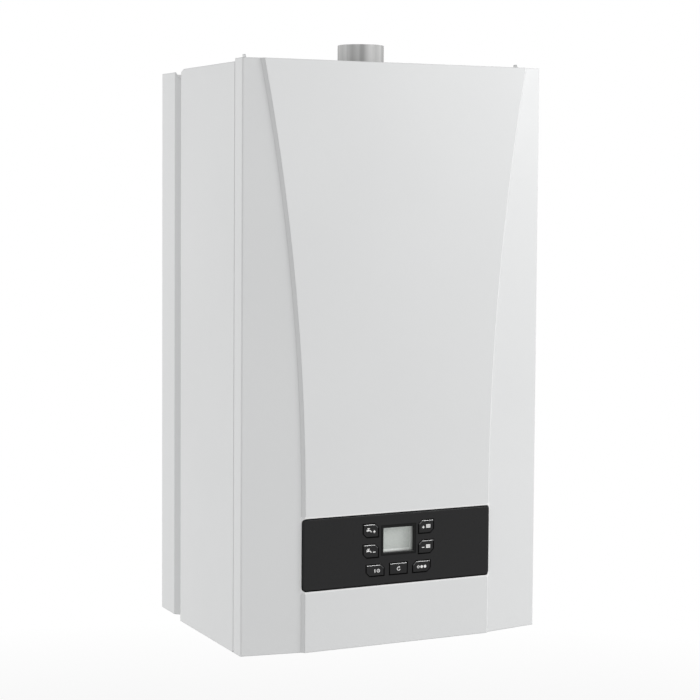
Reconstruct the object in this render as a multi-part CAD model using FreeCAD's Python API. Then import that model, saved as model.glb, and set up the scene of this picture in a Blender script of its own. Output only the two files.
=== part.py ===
import FreeCAD, Part
import math
import os

# Wall-hung room-sealed gas boiler, in millimetres.
# Places are drawn as (across, depth, up): across from the middle, depth out from the wall, and up from
# the casing's bottom edge. The written part has its origin on the wall, midway between the hanging slots.

# Casing sheet and gaps
casing_width = 400.0
casing_height = 700.0
casing_depth = 299.0
sheet = 1.0
slide_gap = 0.5
seat_gap = 0.3
seam = 2.0
overrun = 6.0
touch = 0.01

# Rear chassis: back, side strips, joggles and the tongues that carry the side panels
chassis_inset = 6.0
chassis_top_drop = 5.0
strip_depth = 46.0
joggle_step = 7.0
joggle_run = 7.0
valley_depth = 31.0
panel_lap = 17.0
notch_width = 14.0
notch_height = 13.0
hook_drop = 45.0
hook_spacing = 240.0
hook_slot_length = 30.0
hook_slot_radius = 6.0
lower_fixing_spacing = 300.0
lower_fixing_height = 35.0
lower_fixing_radius = 4.0

# Front cover: raised middle between two arcs, sloping bands, window and bottom slots
band_width = 72.7
top_band_width = 21.5
step_height = 3.5
band_slope_share = 0.16
edge_round = 2.0
step_lap = 8.0
window_margin = 0.3
cover_flange = 21.8
cover_screw_inset = 28.0
cover_screw_setback = 9.0
cover_screw_radius = 1.9
cover_screw_length = 9.0
cover_screw_head_radius = 4.5
cover_screw_head = 3.0
cover_slot_radius = 2.6

# Side panels
panel_top_drop = 3.5
panel_joggle = 3.5
panel_tongue = 17.0
panel_front_hem = 14.0
panel_top_flange = 23.0
panel_bottom_flange = 20.0
panel_corner_run = 10.0
panel_corner_drop = 3.5
hook_tab_inset = 16.0
hook_tab_length = 12.0
hook_tab_height = 9.5
hook_tab_slant = 5.0
screw_tab_reach = 12.0

# Top plate
top_lip = 12.0
air_hole_radius = 50.0
adaptor_spacing = 92.0
adaptor_hole_radius = 2.2

# Control fascia and its window
fascia_low = 73.1
fascia_height = 86.3
fascia_gap = 0.6
fascia_wall = 2.5
fascia_skirt = 11.5
fascia_corner = 5.0
fascia_bevel = 1.6
display_half_width = 20.0
display_low = 112.0
display_height = 29.5
display_bevel = 0.9
display_recess = 8.0
display_wall = 1.5

# Buttons
button_column = 37.5
button_upper_row = 139.8
button_lower_row = 115.0
button_bottom_row = 91.2
button_width = 19.5
button_height = 15.0
key_offset = 31.5
key_width = 23.0
key_height = 12.8
button_cut = 4.2
button_gap = 0.35
button_proud = 0.8
button_bevel = 0.6
button_flange = 1.2
button_flange_thickness = 1.5
button_travel = 1.0
button_stem_radius = 2.5
switch_size = 6.0
switch_height = 3.5
plunger_radius = 1.7
plunger_height = 1.2
plunger_free = 0.2

# Display and board
lens_margin = 3.0
lens_thickness = 1.6
module_margin = 4.0
module_free = 1.4
board_half_width = 100.0
board_margin = 3.4
board_thickness = 1.6
relay_width = 20.0
relay_depth = 16.0
relay_height = 15.0
relay_pitch = 32.0
transformer_width = 44.0
transformer_depth = 30.0
transformer_height = 38.0

# Control housing on its two hinge pins
housing_side_room = 50.0
housing_low = 52.0
housing_height = 126.0
housing_depth = 57.5
housing_wall = 2.5
housing_corner = 8.0
lid_thickness = 2.5
opening_margin = 5.0
pivot_setback = 19.5
pivot_drop = 12.0
pin_radius = 3.0
pin_length = 10.0
pin_gap = 0.08
ear_radius = 7.0
bracket_sheet = 1.5
bracket_gap = 5.0
bracket_height = 30.0
bracket_rise = 12.0
bracket_foot = 24.0
bracket_web_setback = 18.0
bracket_nose = 12.0

# Expansion vessel
vessel_radius = 150.0
vessel_height = 470.0
vessel_off = 8.0
vessel_wall = 1.5
vessel_dome_share = 0.325
vessel_shoulder_share = 0.8
vessel_rim = 5.0
vessel_boss_radius = 22.0
vessel_nozzle_radius = 9.0
vessel_nozzle_length = 14.0

# Sealed chamber and its cover
chamber_setback = 43.0
chamber_back_gap = 7.0
chamber_depth = 160.0
chamber_low = 278.0
chamber_top = 682.0
chamber_rim = 8.5
gasket_thickness = 3.0
chamber_cover_rise = 6.0
chamber_cover_border = 26.0
sight_height = 372.0
sight_radius = 14.0
sight_bezel = 6.0
sight_thickness = 3.0
chamber_screw_radius = 1.9
chamber_screw_length = 9.0
chamber_screw_head_radius = 4.0
chamber_screw_head = 2.4
chamber_screw_rows = 4

# Burner, combustion frame and insulation
stack_side_room = 67.7
stack_depth = 120.0
stack_setback = 15.0
burner_leg = 12.0
burner_height = 38.0
burner_wall = 1.5
blade_count = 11
blade_thickness = 9.0
blade_flange = 3.0
blade_drop = 4.0
blade_slot_width = 2.2
blade_slot_depth = 3.0
injector_radius = 2.6
injector_length = 5.0
injector_gap = 0.3
injector_rise = 9.0
manifold_width = 18.0
manifold_height = 20.0
manifold_side = 8.0
frame_height = 112.0
frame_wall = 1.2
board_wall = 12.0
electrode_radius = 3.5
electrode_collar = 6.5
electrode_collar_length = 4.0
electrode_outer = 14.0
electrode_inner = 12.0
electrode_wire_radius = 1.0
electrode_wire = 16.0
electrode_rise = 16.0
electrode_offset = 48.0
electrode_pitch = 16.0

# Primary heat exchanger
exchanger_height = 54.0
exchanger_plate = 2.0
exchanger_tube_radius = 9.0
exchanger_tube_count = 5
exchanger_fin_count = 30
exchanger_fin = 1.0
exchanger_fin_inset = 4.0
exchanger_stub = 18.0

# Flue hood and fan
hood_wall = 1.2
hood_rise = 36.0
hood_seat = 1.5
chimney_half_width = 46.0
chimney_depth = 48.0
chimney_rise = 50.0
flue_setback = 114.0
fan_width = 56.0
fan_wall = 1.2
fan_outlet = 57.0
fan_spiral_radius = 63.0
fan_spiral_step = 5.5
fan_rise = 2.0
fan_neck = 24.0
inlet_radius = 34.0
impeller_radius = 40.0
impeller_width = 40.0
impeller_plate = 1.6
impeller_ring = 10.0
impeller_blades = 22
impeller_blade = 1.4
impeller_blade_lean = 35.0
impeller_hub_radius = 9.0
impeller_hub = 12.0
shaft_radius = 4.0
shaft_gap = 0.06
motor_radius = 30.0
motor_length = 34.0
motor_hole_gap = 3.0
motor_fin = 2.5
motor_fin_count = 5
motor_gap_share = 0.7
collar_radius = 28.8
collar_wall = 1.5
collar_rise = 27.0
collar_flange = 1.5
collar_flange_margin = 4.0

# Air pressure switch and its two tubes
switch_side_room = 73.7
switch_z = 622.0
switch_radius = 28.0
switch_body = 24.0
switch_rim = 3.0
nipple_radius = 2.4
nipple_length = 8.0
nipple_spread = 9.0
sense_tube_radius = 3.0
sense_tube_bend = 12.0
sense_tube_spread = 12.0

# Pipe connections on the bottom rail
pipe_side_room = 70.0
pipe_depth = 85.0
thread_low = 12.0
thread_length = 40.0
big_thread_radius = 13.2
big_bore = 9.5
small_thread_radius = 10.4
small_bore = 7.0
connector_hex = 6.0
connector_hex_margin = 4.0
neck_inset = 1.2
rail_sheet = 2.0
rail_depth = 128.0
rail_lip = 14.0
rail_rear_lip = 20.0
group_lift = 2.0

# Flow group, return group, pump and plate heat exchanger
barrel_radius = 17.0
small_barrel_radius = 14.0
barrel_height = 116.0
small_barrel_height = 68.0
bridge_height = 157.0
bridge_radius = 11.0
port_radius = 9.0
port_height = 115.0
web_thickness = 12.0
web_low = 70.0
web_height = 28.0
diverter_height = 118.0
diverter_radius = 16.0
diverter_length = 30.0
group_nut = 9.0
group_nut_margin = 3.0
actuator_width = 42.0
actuator_height = 48.0
actuator_share = 0.56
actuator_corner = 7.0
actuator_clip = 6.0
pump_rise = 68.0
pump_radius = 46.0
pump_depth = 42.0
pump_wall = 8.0
pump_cavity_front = 10.0
pump_outlet = 14.0
pump_motor_radius = 41.0
pump_motor_share = 0.66
pump_motor_flange = 8.0
pump_motor_rib_count = 12
pump_motor_rib = 3.0
pump_terminal_width = 40.0
pump_terminal_height = 22.0
pump_terminal_share = 0.6
pump_impeller_width = 18.0
pump_impeller_gap = 4.0
pump_impeller_plate = 2.0
pump_impeller_blades = 7
pump_impeller_blade = 2.0
pump_impeller_lean = 50.0
vent_offset = 31.0
vent_neck = 8.0
vent_neck_rise = 50.0
vent_radius = 13.0
vent_height = 34.0
vent_cap = 6.0
safety_share = 0.5
safety_height = 84.0
safety_neck = 6.0
safety_radius = 11.0
safety_length = 24.0
safety_spindle = 12.0
safety_outlet = 6.0
safety_outlet_drop = 46.0
filling_height = 90.0
filling_radius = 9.0
filling_length = 16.0
filling_spindle = 12.0
knob_share = 0.2
knob_length = 15.0
knob_flute = 2.2
knob_flute_count = 9
spindle_radius = 3.0
spindle_gap = 0.06
plate_side_gap = 22.0
plate_low = 98.0
plate_height = 76.0
plate_back = 22.0
plate_count = 12
plate_corner = 16.0
plate_rib = 1.5
plate_rim_share = 0.62

# Gas valve
valve_half_width = 30.0
valve_low = 96.0
valve_height = 74.0
valve_depth = 72.0
valve_gap = 3.0
valve_chamfer = 6.0
valve_port = 14.0
valve_port_height = 6.0
coil_radius = 13.0
coil_share = 0.46
coil_spread = 14.0
coil_height = 50.0
coil_cap = 5.0
gas_neck_radius = 9.0

# Water and gas pipes
water_pipe_radius = 9.0
water_pipe_bend = 15.0
gas_pipe_radius = 7.5
gas_pipe_bend = 20.0
gas_pipe_level = 228.0
vessel_pipe_radius = 6.0
vessel_pipe_bend = 18.0
vessel_pipe_level = 258.0
riser_side_room = 25.7
flow_level = 236.0
return_level = 252.0
pass_gap = 0.8
pipe_nut = 10.0
pipe_nut_margin = 4.0

# Worked out from the above
half = casing_width / 2
chassis_half = half - chassis_inset
chassis_top = casing_height - chassis_top_drop
tongue_face = chassis_half - joggle_step
tongue_inside = tongue_face - sheet
joggle_end = strip_depth + joggle_run
panel_rear = joggle_end + valley_depth
tongue_end = panel_rear + panel_lap
hook_height = casing_height - hook_drop

step_half_width = half - band_width
top_half_width = half - top_band_width
window_top = fascia_low + fascia_height + fascia_gap
arc_start = window_top + sheet
window_low = fascia_low - fascia_gap
edge_depth = casing_depth - step_height - band_slope_share * band_width
step_depth = casing_depth - step_height
step_rise = casing_height - arc_start
step_spread = top_half_width - step_half_width
step_lean = band_slope_share * step_spread
flange_end = edge_depth - cover_flange
bevel_share = math.tan(math.pi / 8)
cover_screw_x = half - cover_screw_inset
cover_screw_depth = flange_end + cover_screw_setback
lip_clear = sheet + slide_gap

panel_top = casing_height - panel_top_drop
panel_front = flange_end - seam
panel_tongue_face = half - panel_joggle
panel_tongue_end = panel_front + panel_joggle + panel_tongue
top_level = panel_top - sheet
top_half = tongue_inside - seat_gap
top_front = panel_tongue_end - sheet - seat_gap

window_half = step_half_width - window_margin
fascia_half = window_half - fascia_gap
fascia_top = fascia_low + fascia_height
fascia_rear = casing_depth - fascia_skirt
fascia_inside = casing_depth - fascia_wall
display_top = display_low + display_height
flange_front = fascia_inside - seat_gap
flange_rear = flange_front - button_flange_thickness
housing_half_width = half - housing_side_room
housing_front = fascia_rear
housing_rear = housing_front - housing_depth
housing_top = housing_low + housing_height
lid_rear = housing_rear - lid_thickness
board_front = housing_front - housing_wall
board_rear = board_front - board_thickness
switch_top = board_front + switch_height
plunger_top = switch_top + plunger_height
stem_end = plunger_top + button_travel + plunger_free
pivot_depth = housing_front - pivot_setback
pivot_height = housing_low - pivot_drop
lens_front = casing_depth - display_recess
lens_rear = lens_front - lens_thickness
module_front = lens_rear - module_free
bracket_inside = housing_half_width + bracket_gap

chamber_front = casing_depth - chamber_setback
chamber_back = chamber_front - chamber_depth
vessel_back = sheet + vessel_off
vessel_front = chamber_back - chamber_back_gap
vessel_thickness = vessel_front - vessel_back
vessel_middle = vessel_back + vessel_thickness / 2
vessel_dome = vessel_dome_share * vessel_thickness
chamber_half = tongue_inside - seat_gap
chamber_floor = chamber_low + sheet
rim_half = chamber_half + chamber_rim
rim_low = chamber_low - chamber_rim
rim_top = chamber_top + chamber_rim
gasket_front = chamber_front + gasket_thickness
cover_plate_front = gasket_front + sheet

stack_half_width = chamber_half - stack_side_room
stack_back = chamber_back + stack_setback
stack_front = stack_back + stack_depth
burner_low = chamber_floor + burner_leg
burner_top = burner_low + burner_height
frame_top = burner_top + frame_height
exchanger_top = frame_top + exchanger_height
exchanger_middle = frame_top + exchanger_height / 2
tube_pitch = stack_depth / exchanger_tube_count
first_tube = stack_back + tube_pitch / 2
last_tube = stack_front - tube_pitch / 2
stub_end = stack_half_width + exchanger_plate + exchanger_stub
riser_x = chamber_half - riser_side_room
manifold_front = stack_front + manifold_width
injector_height = burner_low + injector_rise
manifold_low = injector_height - manifold_height / 2

hood_top = exchanger_top + hood_rise
flue_depth = casing_depth - flue_setback
fan_back = flue_depth - fan_width / 2
fan_front = flue_depth + fan_width / 2
fan_x = fan_outlet / 2 + fan_wall - fan_spiral_radius
fan_z = hood_top + fan_rise + fan_spiral_radius
fan_outlet_half = fan_outlet / 2 + fan_wall
fan_top = fan_z + fan_spiral_radius - 3 * fan_spiral_step + fan_neck
chimney_back = fan_back - chimney_depth
chimney_top = fan_z + chimney_rise
impeller_back = flue_depth - impeller_width / 2
impeller_front = flue_depth + impeller_width / 2
motor_front = fan_front + motor_length
collar_top = casing_height + collar_rise
switch_x = chamber_half - switch_side_room

rail_low = thread_low + thread_length + connector_hex
rail_top = rail_low + rail_sheet
group_low = rail_top + group_lift
outer_pipe = half - pipe_side_room
pipe_pitch = outer_pipe / 2
knob_radius = knob_share * pipe_pitch
barrel_top = group_low + barrel_height
small_barrel_top = group_low + small_barrel_height
plate_half_width = outer_pipe - plate_side_gap
plate_front = pipe_depth - barrel_radius - group_lift
diverter_end = pipe_depth + barrel_radius + diverter_length
actuator_back = diverter_end + actuator_clip
actuator_length = actuator_share * (lid_rear - actuator_back)
pump_height = safety_height + pump_rise
pump_back = plate_front + group_lift
pump_front = pump_back + pump_depth
pump_motor_length = pump_motor_share * (lid_rear - pump_front)
pump_terminal_length = pump_terminal_share * pump_motor_length
pump_top = pump_height + pump_radius + pump_outlet
pump_cavity_radius = pump_radius - pump_wall
pump_impeller_radius = pump_cavity_radius - pump_impeller_gap
pump_cavity_back = pump_front - pump_cavity_front - pump_impeller_width - 2 * pump_impeller_gap
vent_x = outer_pipe + vent_offset
vent_low = pump_height + vent_neck_rise
web_front = pipe_depth + web_thickness / 2
safety_x = pipe_pitch + safety_share * pipe_pitch
safety_back = pipe_depth + barrel_radius + group_lift
safety_front = safety_back + safety_length
safety_outlet_depth = safety_back + safety_length / 2
filling_front = pipe_depth + small_barrel_radius + filling_length
valve_back = plate_front + valve_gap
valve_front = valve_back + valve_depth
valve_top = valve_low + valve_height
coil_length = coil_share * (lid_rear - valve_front)
valve_middle = pipe_depth + valve_port + valve_gap

V = FreeCAD.Vector
AXIS_OUT = V(0, -1, 0)
AXIS_UP = V(0, 0, 1)
AXIS_ACROSS = V(1, 0, 0)


def at(across, depth, up):
    """A point from its place across, its depth from the wall and its height."""
    return V(across, -depth, up)


def block(across, depth, up):
    """A box between two places across, two depths and two heights."""
    size = (across[1] - across[0], depth[1] - depth[0], up[1] - up[0])
    return Part.makeBox(*size, at(across[0], depth[1], up[0]))


def rod_up(across, depth, up, radius):
    return Part.makeCylinder(radius, up[1] - up[0], at(across, depth, up[0]), AXIS_UP)


def rod_out(across, depth, up, radius):
    return Part.makeCylinder(radius, depth[1] - depth[0], at(across, depth[0], up), AXIS_OUT)


def rod_across(across, depth, up, radius):
    return Part.makeCylinder(radius, across[1] - across[0], at(across[0], depth, up), AXIS_ACROSS)


def outline_face(points):
    return Part.Face(Part.makePolygon(points + points[:1]))


def prism_up(outline, up):
    """An outline of (across, depth) points, raised between two heights."""
    return outline_face([at(x, d, up[0]) for x, d in outline]).extrude(AXIS_UP * (up[1] - up[0]))


def prism_out(outline, depth):
    """An outline of (across, up) points, run between two depths."""
    return outline_face([at(x, depth[0], z) for x, z in outline]).extrude(AXIS_OUT * (depth[1] - depth[0]))


def prism_across(outline, across):
    """An outline of (depth, up) points, run between two places across."""
    face = outline_face([at(across[0], d, z) for d, z in outline])
    return face.extrude(AXIS_ACROSS * (across[1] - across[0]))


def fused(first, *others):
    return first.multiFuse(list(others)).removeSplitter()


def group(solids):
    return Part.makeCompound(solids)


def mirrored(shape):
    return shape.mirror(V(0, 0, 0), AXIS_ACROSS)


def both_sides(shape):
    return [shape, mirrored(shape)]


def hexagon(radius, x=0, y=0):
    """Corner points of a hexagon round an inner circle."""
    reach = radius / math.cos(math.pi / 6)
    turns = [math.pi * (2 * i + 1) / 6 for i in range(6)]
    return [(x + reach * math.cos(turn), y + reach * math.sin(turn)) for turn in turns]


def nut_up(across, depth, up, radius):
    return prism_up(hexagon(radius, across, depth), up)


def nut_out(across, depth, up, radius):
    return prism_out(hexagon(radius, across, up), depth)


def rounded_out(across, depth, up, corner):
    """A box whose four edges along the depth are rounded."""
    body = block(across, depth, up)
    edges = [edge for edge in body.Edges if edge.BoundBox.YLength > touch]
    return body.makeFillet(corner, edges)


def front_edges(shape):
    """The edges that lie in a shape's foremost flat face."""
    front = shape.BoundBox.YMin + touch
    return [edge for edge in shape.Edges if edge.BoundBox.YMax < front]


def folded(line, up):
    """Sheet folded along a plan line of (across, depth) points, on the left of the way that the line runs."""
    outer = [at(x, d, up[0]) for x, d in line]
    runs = [(b - a).normalize() for a, b in zip(outer, outer[1:])]
    sides = [V(-run.y, run.x, 0) for run in runs]
    inner = []
    for i, point in enumerate(outer):
        before = sides[max(i - 1, 0)]
        after = sides[min(i, len(sides) - 1)]
        inner.append(point + (before + after) * (sheet / (1 + before.dot(after))))
    return outline_face(outer + inner[::-1]).extrude(AXIS_UP * (up[1] - up[0]))


def bent_tube(points, radius, bend):
    """A tube along straight runs that are joined by tangent arcs."""
    edges = []
    start = points[0]
    for before, corner, after in zip(points, points[1:], points[2:]):
        come = (corner - before).normalize()
        leave = (after - corner).normalize()
        turn = come.getAngle(leave)
        arc_in = corner - come * (bend * math.tan(turn / 2))
        arc_out = corner + leave * (bend * math.tan(turn / 2))
        middle = corner + (leave - come).normalize() * (bend / math.cos(turn / 2) - bend)
        edges.append(Part.LineSegment(start, arc_in).toShape())
        edges.append(Part.Arc(arc_in, middle, arc_out).toShape())
        start = arc_out
    edges.append(Part.LineSegment(start, points[-1]).toShape())
    ring = Part.Wire(Part.makeCircle(radius, points[0], points[1] - points[0]))
    return Part.Wire(edges).makePipeShell([ring], True, False)


def round_out(profile, across, up):
    """A turned piece about an axis along the depth, from (depth, radius) points."""
    face = outline_face([at(across + r, d, up) for d, r in profile])
    return face.revolve(at(across, 0, up), AXIS_OUT, 360)


def around_out(shape, across, up, count):
    """Copies of a shape turned evenly about an axis along the depth."""
    copies = []
    for i in range(count):
        copy = shape.copy()
        copy.rotate(at(across, 0, up), AXIS_OUT, 360 * i / count)
        copies.append(copy)
    return copies


def write(name, shape):
    """Lower a piece from the drawing's frame to the part's origin and write it."""
    placed = shape.copy()
    placed.translate(AXIS_UP * -hook_height)
    placed.exportStep(f"parts/{name}.step")


def slot_across(across, up, length, radius):
    """A cutter for a level slot through the back panel."""
    reach = length / 2 - radius
    ends = [rod_out(across + side * reach, (-overrun, sheet + overrun), up, radius) for side in (-1, 1)]
    middle = block(
        (across - reach, across + reach), (-overrun, sheet + overrun), (up - radius, up + radius)
    )
    return fused(middle, *ends)


def rear_chassis():
    line = [
        (tongue_face, tongue_end),
        (tongue_face, joggle_end),
        (chassis_half, strip_depth),
        (chassis_half, 0),
        (-chassis_half, 0),
        (-chassis_half, strip_depth),
        (-tongue_face, joggle_end),
        (-tongue_face, tongue_end),
    ]
    body = folded(line, (0, chassis_top))
    notch_middle = strip_depth + notch_width / 2
    notch = prism_across(
        [
            (strip_depth, chassis_top + touch),
            (strip_depth + notch_width, chassis_top + touch),
            (notch_middle, chassis_top - notch_height),
        ],
        (-half, half),
    )
    slots = [
        slot_across(s * hook_spacing / 2, hook_height, hook_slot_length, hook_slot_radius)
        for s in (-1, 1)
    ]
    holes = [
        rod_out(
            s * lower_fixing_spacing / 2, (-overrun, sheet + overrun),
            lower_fixing_height, lower_fixing_radius
        )
        for s in (-1, 1)
    ]
    return body.cut([notch] + slots + holes)


def right_side_panel():
    line = [
        (panel_tongue_face - panel_front_hem, panel_tongue_end),
        (panel_tongue_face, panel_tongue_end),
        (panel_tongue_face, panel_front + panel_joggle),
        (half, panel_front),
        (half, panel_rear),
        (tongue_face + seat_gap, panel_rear),
    ]
    body = folded(line, (0, panel_top))
    over_lip = block(
        (0, half + overrun), (panel_front, panel_tongue_end + overrun), (-overrun, lip_clear)
    )
    corner = prism_across(
        [
            (panel_rear - touch, panel_top - panel_corner_drop),
            (panel_rear - touch, panel_top + touch),
            (panel_rear + panel_corner_run, panel_top + touch),
        ],
        (0, half + overrun),
    )
    body = body.cut([over_lip, corner])
    inside = half - sheet / 2
    top = block(
        (half - sheet - panel_top_flange, inside),
        (panel_rear + panel_corner_run, panel_front - sheet),
        (panel_top - sheet, panel_top),
    )
    bottom = block(
        (half - sheet - panel_bottom_flange, inside),
        (tongue_end + seat_gap, panel_front - sheet), (0, sheet)
    )
    tab_x = half - hook_tab_inset
    tab_front = panel_front - sheet
    tab = prism_across(
        [
            (tab_front - hook_tab_length, panel_top - sheet),
            (tab_front, panel_top - sheet),
            (tab_front, panel_top),
            (tab_front - hook_tab_slant, panel_top + hook_tab_height),
            (tab_front - hook_tab_length, panel_top + hook_tab_height),
        ],
        (tab_x - sheet / 2, tab_x + sheet / 2),
    )
    screw_tab = block(
        (cover_screw_x - screw_tab_reach, panel_tongue_face - sheet / 2),
        (panel_front + panel_joggle + sheet, panel_tongue_end - sheet / 2),
        (lip_clear, lip_clear + sheet),
    )
    hole = rod_up(cover_screw_x, cover_screw_depth, (0, casing_height), cover_screw_radius + seat_gap / 2)
    return fused(body, top, bottom, tab, screw_tab.cut(hole))


def top_plate():
    across = (-top_half, top_half)
    lip = (top_level - top_lip, top_level)
    body = fused(
        block(across, (panel_rear, top_front), (top_level - sheet, top_level)),
        block(across, (panel_rear, panel_rear + sheet), lip),
        block(across, (top_front - sheet, top_front), lip),
    )
    through = (top_level - sheet - overrun, top_level + overrun)
    spread = adaptor_spacing / 2
    places = [(x, flue_depth + d) for x in (-spread, spread) for d in (-spread, spread)]
    holes = [rod_up(x, d, through, adaptor_hole_radius) for x, d in places]
    return body.cut([rod_up(0, flue_depth, through, air_hole_radius)] + holes)


def step_radius():
    """Radius of the two step arcs, which open by the spread while the front leans back by the lean."""
    return (step_rise**2 + step_spread**2 - step_lean**2) / (2 * (step_spread - step_lean))


def step_out(z):
    """Where the step's foot line runs at a height above the fascia."""
    lean = step_lean * ((z - arc_start) / step_rise) ** 2
    radius = step_radius()
    return step_half_width + radius - math.sqrt((radius - lean) ** 2 - (z - arc_start) ** 2)


def beside_step(inset):
    """Everything beyond the right-hand step: a plane beside the fascia and a wide cone above it."""
    foot = step_half_width - inset * bevel_share
    base = step_depth - inset
    near = flange_end - overrun
    far = casing_depth + half
    wide = casing_width
    radius = step_half_width + step_radius() - foot
    cone = Part.makeCone(
        radius - (base - near), radius + (far - base), far - near,
        at(foot + radius, near, arc_start), AXIS_OUT
    )
    above = cone.common(block((0, wide), (near, far), (arc_start, casing_height + half)))
    below = prism_up(
        [(foot + base - near, near), (foot + base - far, far), (wide, far), (wide, near)],
        (-half, arc_start)
    )
    return fused(above, below)


def front_profile(back, front, low, high):
    """The raised middle seen from the side: upright beside the fascia, then leaning back in one long arc."""
    radius = (step_rise**2 + step_lean**2) / (2 * step_lean)

    def out(z):
        return front - radius + math.sqrt(radius**2 - (z - arc_start) ** 2)

    middle = (arc_start + high) / 2
    curve = [at(-half, front, arc_start), at(-half, out(middle), middle), at(-half, out(high), high)]
    edges = [
        Part.LineSegment(at(-half, front, low), curve[0]).toShape(),
        Part.Arc(*curve).toShape(),
        Part.LineSegment(curve[2], at(-half, back, high)).toShape(),
        Part.LineSegment(at(-half, back, high), at(-half, back, low)).toShape(),
        Part.LineSegment(at(-half, back, low), at(-half, front, low)).toShape(),
    ]
    return Part.Face(Part.Wire(edges)).extrude(AXIS_ACROSS * casing_width)


def cover_form(inset):
    """The cover as a full block, or the same block drawn in by the sheet to hollow it."""
    side = half - inset
    low = inset
    high = casing_height - inset
    back = flange_end - overrun if inset else flange_end
    edge = edge_depth + band_slope_share * inset - inset
    ridge = edge_depth + band_slope_share * half - inset
    bands = prism_up([(-side, back), (-side, edge), (0, ridge), (side, edge), (side, back)], (low, high))
    corners = [e for e in bands.Edges if e.BoundBox.ZLength > touch and abs(e.BoundBox.YMin + edge) < touch]
    bands = bands.makeFillet(edge_round - inset, corners)
    rows = [arc_start + step_rise * i / 4 for i in range(5)]
    line = [(step_half_width - step_lap, -half)] + [(step_out(z) - step_lap, z) for z in rows]
    line.append((line[-1][0], casing_height + half))
    column = prism_out(line + [(-x, z) for x, z in line[::-1]], (edge_depth - inset, casing_depth + half))
    beside = beside_step(inset)
    raised = front_profile(edge_depth - step_height - inset, casing_depth - inset, low, high)
    raised = raised.cut(both_sides(beside))
    return fused(bands.cut(column), raised)


def front_cover():
    shell = cover_form(0).cut(cover_form(sheet))
    window = rounded_out(
        (-window_half, window_half), (flange_end, casing_depth + overrun),
        (window_low, window_top), fascia_corner
    )
    through = (-overrun, sheet + touch)
    slots = []
    for x in (-cover_screw_x, cover_screw_x):
        slots.append(rod_up(x, cover_screw_depth, through, cover_slot_radius))
        slots.append(
            block(
                (x - cover_slot_radius, x + cover_slot_radius),
                (flange_end - overrun, cover_screw_depth), through
            )
        )
    return shell.cut([window] + slots)


def cover_screw(x):
    head = rod_up(x, cover_screw_depth, (-seat_gap - cover_screw_head, -seat_gap), cover_screw_head_radius)
    head = head.makeFillet(cover_screw_head / 3, [head.Edges[2]])
    shank = rod_up(x, cover_screw_depth, (-seat_gap, cover_screw_length), cover_screw_radius)
    return fused(head, shank)


def button_outline(width, height, lean, grow=0):
    """Corner points about a button's middle: two opposite corners are cut off on a leaning button."""
    x = width / 2 + grow
    z = height / 2 + grow
    cut = button_cut + grow * (2 - math.sqrt(2))
    if lean > 0:
        return [(-x, -z), (x - cut, -z), (x, cut - z), (x, z), (cut - x, z), (-x, z - cut)]
    if lean < 0:
        return [(cut - x, -z), (x, -z), (x, z - cut), (x - cut, z), (-x, z), (-x, cut - z)]
    return [(-x, -z), (x, -z), (x, z), (-x, z)]


BUTTONS = {
    "hot_water_up_button": (-button_column, button_upper_row, button_width, button_height, -1),
    "hot_water_down_button": (-button_column, button_lower_row, button_width, button_height, -1),
    "heating_up_button": (button_column, button_upper_row, button_width, button_height, 1),
    "heating_down_button": (button_column, button_lower_row, button_width, button_height, 1),
    "power_button": (-key_offset, button_bottom_row, key_width, key_height, -1),
    "reset_button": (0, button_bottom_row, key_width, key_height, 0),
    "mode_button": (key_offset, button_bottom_row, key_width, key_height, 1),
}


def button_prism(button, depth, grow=0):
    x, z, width, height, lean = button
    return prism_out([(x + dx, z + dz) for dx, dz in button_outline(width, height, lean, grow)], depth)


def push_button(button):
    cap = button_prism(button, (flange_front, casing_depth + button_proud))
    cap = cap.makeChamfer(button_bevel, front_edges(cap))
    flange = button_prism(button, (flange_rear, flange_front), button_flange)
    stem = rod_out(button[0], (stem_end, flange_rear), button[1], button_stem_radius)
    return fused(cap, flange, stem)


def control_fascia():
    across = (-fascia_half, fascia_half)
    body = rounded_out(across, (fascia_rear, casing_depth), (fascia_low, fascia_top), fascia_corner)
    body = body.makeChamfer(fascia_bevel, front_edges(body))
    inner = fascia_half - fascia_wall
    pocket = rounded_out(
        (-inner, inner),
        (fascia_rear - overrun, fascia_inside),
        (fascia_low + fascia_wall, fascia_top - fascia_wall),
        fascia_corner - fascia_wall,
    )
    reveal_wall = block(
        (-display_half_width - display_wall, display_half_width + display_wall),
        (lens_front, fascia_inside),
        (display_low - display_wall, display_top + display_wall),
    )
    window = block(
        (-display_half_width, display_half_width),
        (lens_front - overrun, casing_depth), (display_low, display_top)
    )
    mouth = block(
        (-display_half_width - display_bevel, display_half_width + display_bevel),
        (casing_depth - display_bevel, casing_depth),
        (display_low - display_bevel, display_top + display_bevel),
    )
    inward = [e for e in mouth.Edges if e.BoundBox.YMin > -casing_depth + display_bevel - touch]
    reveal = mouth.makeChamfer(display_bevel - touch, inward)
    holes = [
        button_prism(b, (fascia_inside - overrun, casing_depth + overrun), button_gap)
        for b in BUTTONS.values()
    ]
    return fused(body.cut([pocket] + holes), reveal_wall).cut([window, reveal])


def display_lens():
    return block(
        (-display_half_width - lens_margin, display_half_width + lens_margin),
        (lens_rear, lens_front),
        (display_low - lens_margin, display_top + lens_margin),
    )


def display_module():
    body = block(
        (-display_half_width - module_margin, display_half_width + module_margin),
        (board_front, module_front),
        (display_low - module_margin, display_top + module_margin),
    )
    return body.makeChamfer(display_bevel, front_edges(body))


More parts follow.
